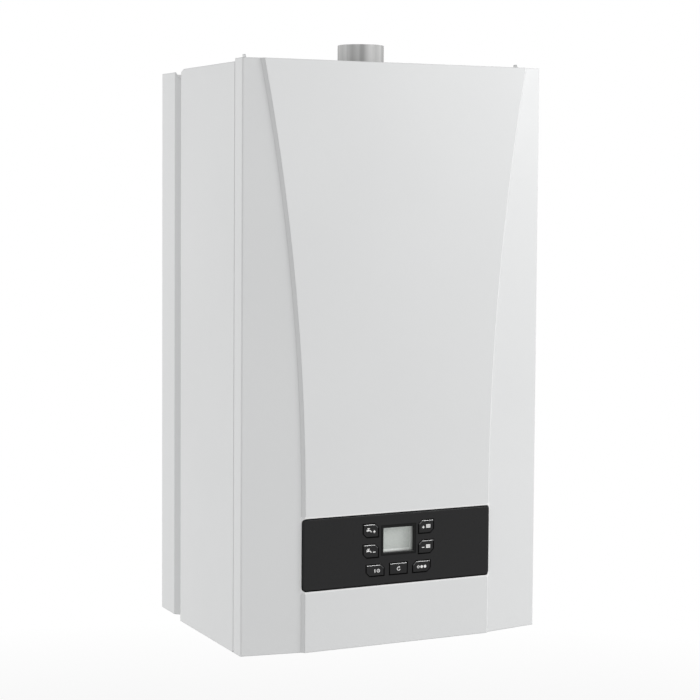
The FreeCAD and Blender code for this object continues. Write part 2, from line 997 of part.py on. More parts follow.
def control_board():
    body = block(
        (-board_half_width, board_half_width),
        (board_rear, board_front),
        (fascia_low + board_margin, fascia_top - board_margin),
    )
    pieces = []
    for x, z, *_ in BUTTONS.values():
        reach = switch_size / 2
        pieces.append(block((x - reach, x + reach), (board_front, switch_top), (z - reach, z + reach)))
        pieces.append(rod_out(x, (switch_top, plunger_top), z, plunger_radius))
    middle = (fascia_low + fascia_top) / 2
    for i in range(3):
        x = i * relay_pitch + relay_width / 2
        pieces.append(
            block(
                (x, x + relay_width), (board_rear - relay_height, board_rear),
                (middle, middle + relay_depth)
            )
        )
    pieces.append(
        block(
            (-board_half_width + relay_width, transformer_width + relay_width - board_half_width),
            (board_rear - transformer_depth, board_rear),
            (middle - transformer_height / 2, middle + transformer_height / 2),
        )
    )
    return fused(body, *pieces)


def control_housing():
    across = (-housing_half_width, housing_half_width)
    inner = (housing_wall - housing_half_width, housing_half_width - housing_wall)
    body = rounded_out(across, (housing_rear, housing_front), (housing_low, housing_top), housing_corner)
    pocket = rounded_out(
        inner,
        (housing_rear - overrun, board_front),
        (housing_low + housing_wall, housing_top - housing_wall),
        housing_corner - housing_wall,
    )
    opening = block(
        (opening_margin - board_half_width, board_half_width - opening_margin),
        (board_front - overrun, housing_front + overrun),
        (fascia_low + board_margin + opening_margin, fascia_top - board_margin - opening_margin),
    )
    ear = fused(
        rod_across(inner[1:] + across[1:], pivot_depth, pivot_height, ear_radius),
        block(
            inner[1:] + across[1:],
            (pivot_depth - ear_radius, pivot_depth + ear_radius),
            (pivot_height, housing_low + housing_corner),
        ),
        rod_across(
            (housing_half_width, housing_half_width + pin_length), pivot_depth, pivot_height, pin_radius
        ),
    )
    return fused(body.cut([pocket, opening]), *both_sides(ear))


def control_lid():
    plate = rounded_out(
        (-housing_half_width, housing_half_width),
        (lid_rear, housing_rear),
        (housing_low, housing_top),
        housing_corner,
    )
    inner = housing_half_width - housing_wall - seat_gap
    rim = rounded_out(
        (-inner, inner),
        (housing_rear, housing_rear + lid_thickness),
        (housing_low + housing_wall + seat_gap, housing_top - housing_wall - seat_gap),
        housing_corner - housing_wall,
    )
    hollow = rounded_out(
        (housing_wall - inner, inner - housing_wall),
        (housing_rear, housing_rear + lid_thickness),
        (housing_low + 2 * housing_wall, housing_top - 2 * housing_wall),
        housing_corner - housing_wall,
    )
    return fused(plate, rim.cut(hollow))


def hinge_bracket():
    web = pivot_depth - bracket_web_setback
    low = pivot_height - bracket_rise
    up = (low, low + bracket_height)
    wing = block((bracket_inside, bracket_inside + bracket_sheet), (web, pivot_depth + bracket_nose), up)
    web_plate = block((bracket_inside, half - sheet), (web, web + bracket_sheet), up)
    foot = block((half - sheet - bracket_sheet, half - sheet), (web - bracket_foot, web), up)
    body = fused(wing, web_plate, foot)
    hole = rod_across((bracket_inside - overrun, half), pivot_depth, pivot_height, pin_radius + pin_gap)
    return body.cut(hole)


def vessel_form(inset):
    """The flat round vessel as a full body, or drawn in by its wall to hollow it."""
    back = vessel_back + inset
    front = vessel_front - inset
    crown = vessel_radius / 3
    shoulder = vessel_radius * vessel_shoulder_share
    drum = vessel_radius - vessel_rim - inset
    profile = [
        (back, 0),
        (back, crown),
        (back + vessel_dome / 3, shoulder),
        (back + vessel_dome, drum),
        (front - vessel_dome, drum),
        (front - vessel_dome / 3, shoulder),
        (front, crown),
        (front, 0),
    ]
    return round_out(profile, 0, vessel_height)


def expansion_vessel():
    boss = rod_out(0, (sheet, vessel_back), vessel_height, vessel_boss_radius)
    rim = rod_out(0, (vessel_middle - vessel_rim, vessel_middle + vessel_rim), vessel_height, vessel_radius)
    low = vessel_height - vessel_radius
    nozzle = rod_up(
        0, vessel_middle, (low - vessel_nozzle_length, low + 2 * vessel_rim), vessel_nozzle_radius
    )
    bore = rod_up(
        0, vessel_middle, (low - vessel_nozzle_length, vessel_height),
        vessel_nozzle_radius - 2 * vessel_wall
    )
    return fused(vessel_form(0), boss, rim, nozzle).cut([vessel_form(vessel_wall), bore])


def pass_hole(x, depth, radius):
    """A cutter for a pipe's way through the chamber's floor."""
    return rod_up(x, depth, (chamber_low - overrun, chamber_floor + overrun), radius + pass_gap)


def chamber_screw_places():
    across = rim_half - chamber_rim / 2
    rise = (rim_top - rim_low - chamber_rim) / (chamber_screw_rows - 1)
    rows = [rim_low + chamber_rim / 2 + rise * i for i in range(chamber_screw_rows)]
    return [(side * across, row) for side in (-1, 1) for row in rows]


def screw_holes(gap):
    through = (chamber_front - overrun, cover_plate_front + overrun)
    return [rod_out(x, through, z, chamber_screw_radius + gap) for x, z in chamber_screw_places()]


def chamber_back_sheet():
    return block(
        (-chamber_half, chamber_half), (chamber_back, chamber_back + sheet), (chamber_low, chamber_top)
    )


def chamber_side_sheet():
    """The right-hand wall with its front flange, between the floor and the top."""
    up = (chamber_floor, chamber_top - sheet)
    inner = chamber_half - sheet
    wall = block((inner, chamber_half), (chamber_back + sheet, chamber_front), up)
    flange = block((inner, rim_half), (chamber_front - sheet, chamber_front), up)
    return fused(wall, flange).cut(screw_holes(seat_gap / 2))


def chamber_end_sheet(level, flange_up):
    """A level sheet with its front flange: the floor or the top."""
    plate = block(
        (-chamber_half, chamber_half), (chamber_back + sheet, chamber_front), (level, level + sheet)
    )
    flange = block((-rim_half, rim_half), (chamber_front - sheet, chamber_front), flange_up)
    return fused(plate, flange).cut(screw_holes(seat_gap / 2))


def chamber_floor_sheet():
    passes = [
        pass_hole(-riser_x, last_tube, water_pipe_radius),
        pass_hole(riser_x, first_tube, water_pipe_radius),
        pass_hole(0, stack_front + manifold_width / 2, gas_pipe_radius),
    ]
    return chamber_end_sheet(chamber_low, (rim_low, chamber_floor)).cut(passes)


def chamber_top_sheet():
    low = chamber_top - sheet
    hole = rod_up(0, flue_depth, (low - overrun, chamber_top + overrun), air_hole_radius)
    return chamber_end_sheet(low, (low, rim_top)).cut(hole)


def rim_ring(depth):
    inner = (sheet - chamber_half, chamber_half - sheet)
    ring = block((-rim_half, rim_half), depth, (rim_low, rim_top))
    return ring.cut(
        block(inner, (depth[0] - overrun, depth[1] + overrun), (chamber_floor, chamber_top - sheet))
    )


def chamber_gasket():
    return rim_ring((chamber_front, gasket_front)).cut(screw_holes(seat_gap / 2))


def raised_panel(border, depth):
    """A pressed panel with sloping edges, as a full block."""
    across = rim_half - border
    body = block((-across, across), depth, (rim_low + border, rim_top - border))
    return body.makeChamfer(chamber_cover_rise, front_edges(body))


def chamber_cover():
    plate = block((-rim_half, rim_half), (gasket_front, cover_plate_front), (rim_low, rim_top))
    raised = raised_panel(chamber_cover_border, (gasket_front, cover_plate_front + chamber_cover_rise))
    hollow = raised_panel(
        chamber_cover_border + sheet,
        (gasket_front - overrun, cover_plate_front + chamber_cover_rise - sheet)
    )
    sight = rod_out(0, (gasket_front - overrun, gasket_front + chamber_depth), sight_height, sight_radius)
    return fused(plate, raised).cut([hollow, sight] + screw_holes(seat_gap / 2))


def sight_glass():
    front = cover_plate_front + chamber_cover_rise
    back = front - sheet
    profile = [
        (back, 0),
        (back, sight_radius - seat_gap),
        (front, sight_radius - seat_gap),
        (front, sight_radius + sight_bezel),
        (front + sight_thickness, sight_radius + sight_bezel),
        (front + sight_thickness, sight_radius),
        (front + sight_thickness / 2, sight_radius - seat_gap),
        (front + sight_thickness / 2, 0),
    ]
    return round_out(profile, 0, sight_height)


def chamber_screw(place):
    x, z = place
    head = rod_out(
        x, (cover_plate_front, cover_plate_front + chamber_screw_head), z, chamber_screw_head_radius
    )
    head = head.makeChamfer(chamber_screw_head / 3, front_edges(head))
    shank = rod_out(
        x, (cover_plate_front - chamber_screw_length, cover_plate_front), z, chamber_screw_radius
    )
    return fused(head, shank)


def blade_places():
    room = 2 * (stack_half_width - burner_wall)
    pitch = room / blade_count
    return [pitch * (i + 0.5) - room / 2 for i in range(blade_count)]


def burner_frame():
    across = (-stack_half_width, stack_half_width)
    inner = (burner_wall - stack_half_width, stack_half_width - burner_wall)
    body = block(across, (stack_back, stack_front), (burner_low, burner_top))
    room = block(
        inner,
        (stack_back + burner_wall, stack_front - burner_wall),
        (burner_low - overrun, burner_top + overrun),
    )
    leg = block(
        (stack_half_width - burner_wall, stack_half_width),
        (stack_back, stack_front), (chamber_floor, burner_low)
    )
    arch = rod_across((0, half), (stack_back + stack_front) / 2, chamber_floor, burner_leg - burner_wall)
    leg = leg.cut(arch)
    through = (stack_front - burner_wall - overrun, stack_front + overrun)
    holes = [rod_out(x, through, injector_height, injector_radius + injector_gap) for x in blade_places()]
    return fused(body.cut([room] + holes), *both_sides(leg))


def burner_blade(x):
    """One thin burner bar: flanged ends in the frame, a narrower body and flame slots along its top."""
    depth = (stack_back + burner_wall + seat_gap, stack_front - burner_wall - seat_gap)
    top = burner_top - blade_drop
    wide = blade_thickness / 2
    slim = wide - blade_flange / 2
    body = block((x - slim, x + slim), depth, (burner_low, top))
    crown = block((x - wide, x + wide), depth, (top - 2 * blade_flange, top))
    mouth = rod_out(x, (depth[1] - injector_length, depth[1]), injector_height, wide)
    slot = block(
        (x - blade_slot_width / 2, x + blade_slot_width / 2), depth, (top - blade_slot_depth, top + touch)
    )
    bore = rod_out(
        x, (depth[1] - injector_length, depth[1] + touch), injector_height, injector_radius + injector_gap
    )
    return fused(body, crown, mouth).cut([slot, bore])


def gas_manifold():
    reach = stack_half_width - manifold_side
    high = manifold_low + manifold_height
    bar = block((-reach, reach), (stack_front, manifold_front), (manifold_low, high))
    along = [e for e in bar.Edges if e.BoundBox.XLength > touch and e.BoundBox.YMax < -stack_front - touch]
    bar = bar.makeFillet(manifold_width / 3, along)
    jets = [
        rod_out(
            x, (stack_front - burner_wall - injector_length / 2, stack_front),
            injector_height, injector_radius
        )
        for x in blade_places()
        if abs(x) < reach
    ]
    return fused(bar, *jets)


def combustion_frame():
    across = (-stack_half_width, stack_half_width)
    body = block(across, (stack_back, stack_front), (burner_top, frame_top))
    room = block(
        (frame_wall - stack_half_width, stack_half_width - frame_wall),
        (stack_back + frame_wall, stack_front - frame_wall),
        (burner_top - overrun, frame_top + overrun),
    )
    return body.cut([room] + electrode_holes())


def insulation_boards():
    side = stack_half_width - frame_wall
    back = stack_back + frame_wall
    front = stack_front - frame_wall
    up = (burner_top, frame_top)
    front_board = block((-side, side), (front - board_wall, front), up).cut(electrode_holes())
    back_board = block((-side, side), (back, back + board_wall), up)
    side_board = block((side - board_wall, side), (back + board_wall, front - board_wall), up)
    return group([front_board, back_board] + both_sides(side_board))


def electrode_places():
    return [-electrode_offset - electrode_pitch, -electrode_offset, electrode_offset]


def electrode_holes():
    up = burner_top + electrode_rise
    through = (stack_front - frame_wall - board_wall - overrun, stack_front + overrun)
    return [rod_out(x, through, up, electrode_radius + seat_gap) for x in electrode_places()]


def electrode(x):
    up = burner_top + electrode_rise
    tip = stack_front - frame_wall - board_wall - electrode_inner
    collar_front = stack_front + electrode_collar_length
    profile = [
        (tip - electrode_wire, 0),
        (tip - electrode_wire, electrode_wire_radius),
        (tip, electrode_wire_radius),
        (tip, electrode_radius),
        (stack_front, electrode_radius),
        (stack_front, electrode_collar),
        (collar_front, electrode_collar),
        (collar_front, electrode_radius),
        (collar_front + electrode_outer, electrode_radius),
        (collar_front + electrode_outer, 0),
    ]
    return round_out(profile, x, up)


def half_bend(x, depth, sign):
    """A return bend between two neighbouring exchanger tubes."""
    ring = Part.makeTorus(
        tube_pitch / 2, exchanger_tube_radius - touch, at(x, depth, exchanger_middle), AXIS_UP
    )
    reach = sign * (tube_pitch + exchanger_tube_radius)
    keep = block(
        (min(x, x + reach), max(x, x + reach)),
        (depth - tube_pitch * 2, depth + tube_pitch * 2),
        (frame_top, exchanger_top),
    )
    return ring.common(keep)


def primary_heat_exchanger():
    plate_x = stack_half_width + exchanger_plate
    plate = block((stack_half_width, plate_x), (stack_back, stack_front), (frame_top, exchanger_top))
    low = (frame_top + exchanger_fin_inset, exchanger_top - exchanger_fin_inset)
    depth = (stack_back, stack_front)
    walls = [
        block((-plate_x, plate_x), (stack_back, stack_back + sheet), (frame_top, exchanger_top)),
        block((-plate_x, plate_x), (stack_front - sheet, stack_front), (frame_top, exchanger_top)),
    ]
    pitch = 2 * stack_half_width / exchanger_fin_count
    starts = [pitch * (i + 0.5) - stack_half_width - exchanger_fin / 2 for i in range(exchanger_fin_count)]
    fins = [block((x, x + exchanger_fin), depth, low) for x in starts]
    depths = [first_tube + tube_pitch * i for i in range(exchanger_tube_count)]
    tubes = []
    for i, d in enumerate(depths):
        left = stub_end if i == exchanger_tube_count - 1 else plate_x
        right = stub_end if i == 0 else plate_x
        tubes.append(rod_across((-left, right), d, exchanger_middle, exchanger_tube_radius))
    bends = []
    for i in range(exchanger_tube_count - 1):
        sign = 1 if i % 2 else -1
        bends.append(half_bend(sign * plate_x, (depths[i] + depths[i + 1]) / 2, sign))
    return fused(plate, mirrored(plate), *walls, *fins, *tubes, *bends)


def hood_form(inset):
    low = exchanger_top
    foot = [
        at(x, d, low)
        for x, d in (
            (inset - stack_half_width, stack_back + inset),
            (stack_half_width - inset, stack_back + inset),
            (stack_half_width - inset, stack_front - inset),
            (inset - stack_half_width, stack_front - inset),
        )
    ]
    side = chimney_half_width - inset
    neck = [
        at(fan_x + x, d, hood_top)
        for x, d in (
            (-side, chimney_back + inset),
            (side, chimney_back + inset),
            (side, fan_back - inset),
            (-side, fan_back - inset),
        )
    ]
    wires = [Part.makePolygon(points + points[:1]) for points in (foot, neck)]
    taper = Part.makeLoft(wires, True, True)
    chimney = block(
        (fan_x - side, fan_x + side), (chimney_back + inset, fan_back - inset),
        (hood_top, chimney_top - inset)
    )
    return fused(taper, chimney)


def flue_hood():
    inlet = rod_out(fan_x, (fan_back - hood_wall - overrun, fan_back + overrun), fan_z, inlet_radius)
    return hood_form(0).cut([hood_form(hood_wall), inlet])


def spiral_outline(inset, high):
    """Edges of the fan's scroll: four arcs of falling radius, a tongue and the upright outlet."""
    depth = fan_back + inset
    right = fan_outlet_half - inset
    radius = fan_spiral_radius - inset
    step = fan_spiral_step
    x, z = fan_x, fan_z
    edges = [Part.LineSegment(at(right, depth, high), at(right, depth, z)).toShape()]
    turn = -math.pi / 4
    here = at(x + radius, depth, z)
    shifts = [(0, -step), (-step, 0), (0, step)]
    for i, (way_x, way_z) in enumerate([(0, -1), (-1, 0), (0, 1)]):
        middle = at(x + radius * math.cos(turn), depth, z + radius * math.sin(turn))
        end = at(x + radius * way_x, depth, z + radius * way_z)
        edges.append(Part.Arc(here, middle, end).toShape())
        here = end
        x += shifts[i][0]
        z += shifts[i][1]
        radius -= step
        turn -= math.pi / 2
    tongue_x = inset - fan_outlet_half
    reach = math.acos((tongue_x - x) / radius)
    middle_turn = (reach + math.pi / 2) / 2
    middle = at(x + radius * math.cos(middle_turn), depth, z + radius * math.sin(middle_turn))
    end = at(tongue_x, depth, z + radius * math.sin(reach))
    edges.append(Part.Arc(here, middle, end).toShape())
    edges.append(Part.LineSegment(end, at(tongue_x, depth, high)).toShape())
    edges.append(Part.LineSegment(at(tongue_x, depth, high), at(right, depth, high)).toShape())
    return edges


def fan_volute():
    outer = Part.Face(Part.Wire(spiral_outline(0, fan_top))).extrude(AXIS_OUT * fan_width)
    room = Part.Face(Part.Wire(spiral_outline(fan_wall, fan_top + overrun)))
    room = room.extrude(AXIS_OUT * (fan_width - 2 * fan_wall))
    inlet = rod_out(fan_x, (fan_back - overrun, fan_back + fan_wall + touch), fan_z, inlet_radius)
    shaft = rod_out(
        fan_x, (fan_front - fan_wall - touch, fan_front + overrun), fan_z, shaft_radius + motor_hole_gap
    )
    return outer.cut([room, inlet, shaft])


def blade_wheel(blade, inner, outer, lean, count):
    """Thin blades set round a hub, each leaning from the radius. blade is (x, z, depth range, thickness)."""
    x, z, depth, thickness = blade
    plate = block((x + inner, x + outer), depth, (z - thickness / 2, z + thickness / 2))
    plate.rotate(at(x + outer, 0, z), AXIS_OUT, lean)
    keep = rod_out(x, depth, z, outer)
    return around_out(plate.common(keep), x, z, count)


def fan_impeller():
    back, front = impeller_back, impeller_front
    blades = blade_wheel(
        (fan_x, fan_z, (back, front), impeller_blade),
        impeller_radius - impeller_ring,
        impeller_radius,
        impeller_blade_lean,
        impeller_blades,
    )
    plate = rod_out(fan_x, (front - impeller_plate, front), fan_z, impeller_radius)
    ring = rod_out(fan_x, (back, back + impeller_plate), fan_z, impeller_radius)
    ring = ring.cut(rod_out(fan_x, (back, front), fan_z, impeller_radius - impeller_ring))
    hub = rod_out(fan_x, (front - impeller_hub, front), fan_z, impeller_hub_radius)
    bore = rod_out(fan_x, (back, front + overrun), fan_z, shaft_radius + shaft_gap)
    return fused(plate, ring, hub, *blades).cut(bore)


def fan_motor():
    pitch = motor_length / motor_fin_count
    ends = [fan_front + pitch * (i + 1) for i in range(motor_fin_count)]
    ribs = [rod_out(fan_x, (end - pitch * (1 - motor_gap_share), end), fan_z, motor_radius) for end in ends]
    core = rod_out(fan_x, (fan_front, motor_front), fan_z, motor_radius - motor_fin)
    base = rod_out(fan_x, (fan_front, fan_front + fan_wall), fan_z, motor_radius)
    shaft = rod_out(fan_x, (impeller_front - impeller_hub, fan_front), fan_z, shaft_radius)
    return fused(core, base, shaft, *ribs)


def flue_collar():
    inner = collar_radius - collar_wall
    tube = rod_up(0, flue_depth, (fan_top, collar_top), collar_radius)
    tube = tube.makeChamfer(
        collar_wall / 3, [e for e in tube.Edges if e.BoundBox.ZMin > collar_top - touch]
    )
    reach = collar_radius + collar_flange_margin
    flange = block(
        (-reach, reach), (flue_depth - reach, flue_depth + reach), (fan_top, fan_top + collar_flange)
    )
    bore = rod_up(0, flue_depth, (fan_top - overrun, collar_top + overrun), inner)
    return fused(tube, flange).cut(bore)


def air_pressure_switch():
    back = chamber_back + sheet
    front = back + switch_body
    profile = [
        (back, 0),
        (back, switch_radius - switch_rim),
        (back + switch_body / 3, switch_radius - switch_rim),
        (back + switch_body / 3, switch_radius),
        (back + switch_body / 2, switch_radius),
        (back + switch_body / 2, switch_radius - switch_rim),
        (front - switch_rim, switch_radius - 2 * switch_rim),
        (front, switch_radius / 2),
        (front, 0),
    ]
    body = round_out(profile, switch_x, switch_z)
    nipples = [
        rod_out(
            switch_x + s * nipple_spread,
            (front - switch_rim, front + nipple_length), switch_z, nipple_radius
        )
        for s in (-1, 1)
    ]
    return fused(body, *nipples)


def pressure_tubes():
    start = chamber_back + sheet + switch_body + nipple_length
    tubes = []
    for side in (-1, 1):
        x = switch_x + side * nipple_spread
        depth = flue_depth + side * sense_tube_spread
        points = [at(x, start, switch_z), at(x, depth, switch_z), at(fan_outlet_half, depth, switch_z)]
        tubes.append(bent_tube(points, sense_tube_radius, sense_tube_bend))
    return group(tubes)


def connection_rail():
    half_length = tongue_inside - seat_gap
    across = (-half_length, half_length)
    body = fused(
        block(across, (sheet, rail_depth), (rail_low, rail_top)),
        block(across, (rail_depth - rail_sheet, rail_depth), (rail_low - rail_lip, rail_top)),
        block(across, (sheet, sheet + rail_sheet), (rail_low, rail_top + rail_rear_lip)),
    )
    through = (rail_low - overrun, rail_top + overrun)
    holes = []
    for i in range(-2, 3):
        radius = (small_thread_radius if i % 2 else big_thread_radius) - neck_inset
        holes.append(rod_up(i * pipe_pitch, pipe_depth, through, radius + seat_gap))
    outlet = rod_up(safety_x, safety_outlet_depth, through, safety_outlet + pass_gap)
    return body.cut(holes + [outlet])


def connector(x, thread_radius, bore, neck_top):
    """A threaded pipe end with a hexagon under the rail and a neck up through it."""
    thread = rod_up(x, pipe_depth, (thread_low, rail_low - connector_hex), thread_radius)
    thread = thread.makeChamfer(
        neck_inset, [e for e in thread.Edges if e.BoundBox.ZMax < thread_low + touch]
    )
    nut = nut_up(x, pipe_depth, (rail_low - connector_hex, rail_low), thread_radius + connector_hex_margin)
    neck = rod_up(x, pipe_depth, (rail_low, neck_top), thread_radius - neck_inset)
    way = rod_up(x, pipe_depth, (thread_low - overrun, neck_top - sheet), bore)
    return fused(thread, nut, neck).cut(way)


def gas_connector():
    return connector(0, big_thread_radius, big_bore, group_low)


def flow_group():
    x = -outer_pipe
    tall = rod_up(x, pipe_depth, (group_low, barrel_top), barrel_radius)
    short = rod_up(-pipe_pitch, pipe_depth, (group_low, small_barrel_top), small_barrel_radius)
    bridge = rod_across((x, -pipe_pitch + bridge_radius), pipe_depth, bridge_height, bridge_radius)
    ports = [
        rod_out(-pipe_pitch, (plate_front, pipe_depth), z, port_radius)
        for z in (port_height, bridge_height)
    ]
    web = block(
        (x, -pipe_pitch),
        (pipe_depth - web_thickness / 2, web_front),
        (web_low, web_low + web_height),
    )
    diverter = rod_out(x, (pipe_depth, diverter_end), diverter_height, diverter_radius)
    collar_out = (diverter_end - 2 * group_nut, diverter_end - group_nut)
    collar = nut_out(x, collar_out, diverter_height, diverter_radius + group_nut_margin)
    top_nut = nut_up(x, pipe_depth, (barrel_top - group_nut, barrel_top), barrel_radius + group_nut_margin)
    foot_nuts = [
        nut_up(x, pipe_depth, (group_low, group_low + group_nut), barrel_radius + group_nut_margin),
        nut_up(
            -pipe_pitch, pipe_depth, (group_low, group_low + group_nut),
            small_barrel_radius + group_nut_margin
        ),
    ]
    return fused(tall, short, bridge, *ports, web, diverter, collar, top_nut, *foot_nuts)


def return_group():
    x = outer_pipe
    casing = rod_out(x, (pump_back, pump_front), pump_height, pump_radius)
    edges = [e for e in casing.Edges if e.BoundBox.YLength < touch and e.CenterOfMass.y > -pipe_depth]
    casing = casing.makeFillet(pump_wall / 2, edges)
    foot = rod_up(x, pipe_depth, (group_low, pump_height), barrel_radius)
    outlet = rod_up(x, pipe_depth, (pump_height, pump_top), barrel_radius - group_nut_margin)
    outlet_nut = nut_up(x, pipe_depth, (pump_top - group_nut, pump_top), barrel_radius)
    short = rod_up(pipe_pitch, pipe_depth, (group_low, barrel_top), small_barrel_radius)
    bridge = rod_across((pipe_pitch - bridge_radius, x), pipe_depth, bridge_height, bridge_radius)
    ports = [
        rod_out(pipe_pitch, (plate_front, pipe_depth), z, port_radius)
        for z in (port_height, bridge_height)
    ]
    web = block(
        (pipe_pitch, x), (pipe_depth - web_thickness / 2, web_front), (web_low, web_low + web_height)
    )
    tap = rod_out(pipe_pitch, (pipe_depth, filling_front), filling_height, filling_radius)
    spindle = rod_out(
        pipe_pitch, (filling_front, filling_front + filling_spindle), filling_height, spindle_radius
    )
    neck = rod_up(vent_x, pipe_depth, (pump_height, vent_low), vent_neck)
    foot_nuts = [
        nut_up(x, pipe_depth, (group_low, group_low + group_nut), barrel_radius + group_nut_margin),
        nut_up(
            pipe_pitch, pipe_depth, (group_low, group_low + group_nut),
            small_barrel_radius + group_nut_margin
        ),
    ]
    cavity = rod_out(x, (pump_cavity_back, pump_front + overrun), pump_height, pump_cavity_radius)
    body = fused(
        casing, foot, outlet, outlet_nut, short, bridge, *ports, web, tap, spindle, neck, *foot_nuts
    )
    return body.cut(cavity)


def pump_motor():
    x = outer_pipe
    end = pump_front + pump_motor_length
    spigot = rod_out(
        x, (pump_front - pump_cavity_front, pump_front), pump_height, pump_cavity_radius - seat_gap
    )
    flange = rod_out(
        x, (pump_front, pump_front + pump_motor_flange), pump_height, pump_motor_radius + pump_motor_rib
    )
    can = rod_out(x, (pump_front, end), pump_height, pump_motor_radius)
    can = can.makeFillet(pump_motor_rib, front_edges(can))
    rib = block(
        (x + pump_motor_radius - pump_motor_rib, x + pump_motor_radius + pump_motor_rib / 2),
        (pump_front, end - 2 * pump_motor_flange),
        (pump_height - pump_motor_rib / 2, pump_height + pump_motor_rib / 2),
    )
    ribs = around_out(rib, x, pump_height, pump_motor_rib_count)
    low = pump_height + pump_motor_radius - pump_terminal_height / 2
    terminal = block(
        (x - pump_terminal_width / 2, x + pump_terminal_width / 2),
        (end - pump_terminal_length - pump_motor_flange, end - pump_motor_flange),
        (low, low + pump_terminal_height),
    )
    terminal = terminal.makeFillet(
        pump_motor_rib, [e for e in terminal.Edges if e.BoundBox.ZMin > low + touch]
    )
    shaft_back = pump_cavity_back + pump_impeller_gap
    shaft = rod_out(x, (shaft_back, pump_front), pump_height, shaft_radius)
    return fused(can, flange, spigot, terminal, shaft, *ribs)


def pump_impeller():
    x = outer_pipe
    back = pump_cavity_back + pump_impeller_gap
    front = back + pump_impeller_width
    blades = blade_wheel(
        (x, pump_height, (back, front), pump_impeller_blade),
        pump_impeller_radius / 3,
        pump_impeller_radius,
        pump_impeller_lean / 2,
        pump_impeller_blades,
    )
    plate = rod_out(x, (front - pump_impeller_plate, front), pump_height, pump_impeller_radius)
    hub = rod_out(x, (back, front), pump_height, pump_impeller_radius / 2)
    bore = rod_out(x, (back - overrun, front + overrun), pump_height, shaft_radius + shaft_gap)
    return fused(plate, hub, *blades).cut(bore)


def air_vent():
    high = vent_low + vent_height
    body = rod_up(vent_x, pipe_depth, (vent_low, high), vent_radius)
    body = body.makeFillet(vent_cap / 2, [e for e in body.Edges if e.BoundBox.ZMin > high - touch])
    cap = rod_up(vent_x, pipe_depth, (high, high + vent_cap), vent_cap)
    band_up = (vent_low + vent_cap, vent_low + 2 * vent_cap)
    band = rod_up(vent_x, pipe_depth, band_up, vent_radius + spindle_radius / 3)
    return fused(body, cap, band)


def plate_heat_exchanger():
    across = (-plate_half_width, plate_half_width)
    up = (plate_low, plate_low + plate_height)
    core = rounded_out(
        (plate_rib - plate_half_width, plate_half_width - plate_rib),
        (plate_back, plate_front),
        (up[0] + plate_rib, up[1] - plate_rib),
        plate_corner - plate_rib,
    )
    pitch = (plate_front - plate_back) / plate_count
    thick = pitch * plate_rim_share
    starts = [plate_back + pitch * i for i in range(plate_count - 1)] + [plate_front - thick]
    rims = [rounded_out(across, (d, d + thick), up, plate_corner) for d in starts]
    return fused(core, *rims)


def diverter_actuator():
    x = -outer_pipe
    start = actuator_back
    end = start + actuator_length
    half_width = actuator_width / 2
    low = diverter_height - actuator_height / 2
    body = rounded_out(
        (x - half_width, x + half_width), (start, end), (low, low + actuator_height), actuator_corner
    )
    body = body.makeChamfer(actuator_clip / 3, front_edges(body))
    clip = rod_out(x, (diverter_end, start), diverter_height, diverter_radius)
    plug = block(
        (x - half_width / 2, x + half_width / 2),
        (start + actuator_corner, end - actuator_corner),
        (low - actuator_clip, low),
    )
    return fused(body, clip, plug)


def safety_valve():
    neck = rod_out(safety_x, (web_front, safety_back), safety_height, safety_neck)
    body = rod_out(safety_x, (safety_back, safety_front), safety_height, safety_radius)
    nut_end = safety_back + safety_length / 3
    nut = nut_out(safety_x, (safety_back, nut_end), safety_height, safety_radius + spindle_radius / 2)
    spindle = rod_out(
        safety_x, (safety_front, safety_front + safety_spindle), safety_height, spindle_radius
    )
    outlet = rod_up(
        safety_x, safety_outlet_depth, (safety_height - safety_outlet_drop, safety_height), safety_outlet
    )
    return fused(neck, body, nut, spindle, outlet)


def turn_knob(x, start, up):
    """A fluted knob that turns on a spindle."""
    back = start + seat_gap
    end = back + knob_length
    body = rod_out(x, (back, end), up, knob_radius)
    body = body.makeChamfer(knob_flute / 2, front_edges(body))
    flute = rod_out(x + knob_radius + knob_flute / 3, (back - overrun, end + overrun), up, knob_flute)
    bore = rod_out(x, (back - overrun, start + safety_spindle + seat_gap), up, spindle_radius + spindle_gap)
    return body.cut(around_out(flute, x, up, knob_flute_count) + [bore])


def gas_valve():
    across = (-valve_half_width, valve_half_width)
    body = block(across, (valve_back, valve_front), (valve_low, valve_top))
    edges = [e for e in body.Edges if e.BoundBox.ZLength > touch or e.BoundBox.ZMin > valve_top - touch]
    body = body.makeChamfer(valve_chamfer, edges)
    inlet = rod_up(0, pipe_depth, (group_low, valve_low), gas_neck_radius)
    nuts = [
        nut_up(0, pipe_depth, (group_low, group_low + group_nut), big_thread_radius + group_nut_margin),
        nut_up(0, pipe_depth, (valve_low - group_nut, valve_low), big_thread_radius + group_nut_margin),
    ]
    outlet = rod_up(0, valve_middle, (valve_top, valve_top + valve_port_height), valve_port)
    return fused(body, inlet, *nuts, outlet)


def gas_valve_coil(x):
    up = valve_low + coil_height
    end = valve_front + coil_length
    body = rod_out(x, (valve_front, end), up, coil_radius - spindle_radius / 2)
    cap = rod_out(x, (end - coil_cap, end), up, coil_radius - touch)
    base = rod_out(x, (valve_front, valve_front + coil_cap), up, coil_radius - touch)
    return fused(body, cap, base)


def gas_feed_pipe():
    start = valve_top + valve_port_height
    out = stack_front + manifold_width / 2
    points = [
        at(0, valve_middle, start),
        at(0, valve_middle, gas_pipe_level),
        at(0, out, gas_pipe_level),
        at(0, out, manifold_low),
    ]
    nut = nut_up(0, valve_middle, (start, start + pipe_nut), gas_pipe_radius + pipe_nut_margin)
    return fused(bent_tube(points, gas_pipe_radius, gas_pipe_bend), nut)


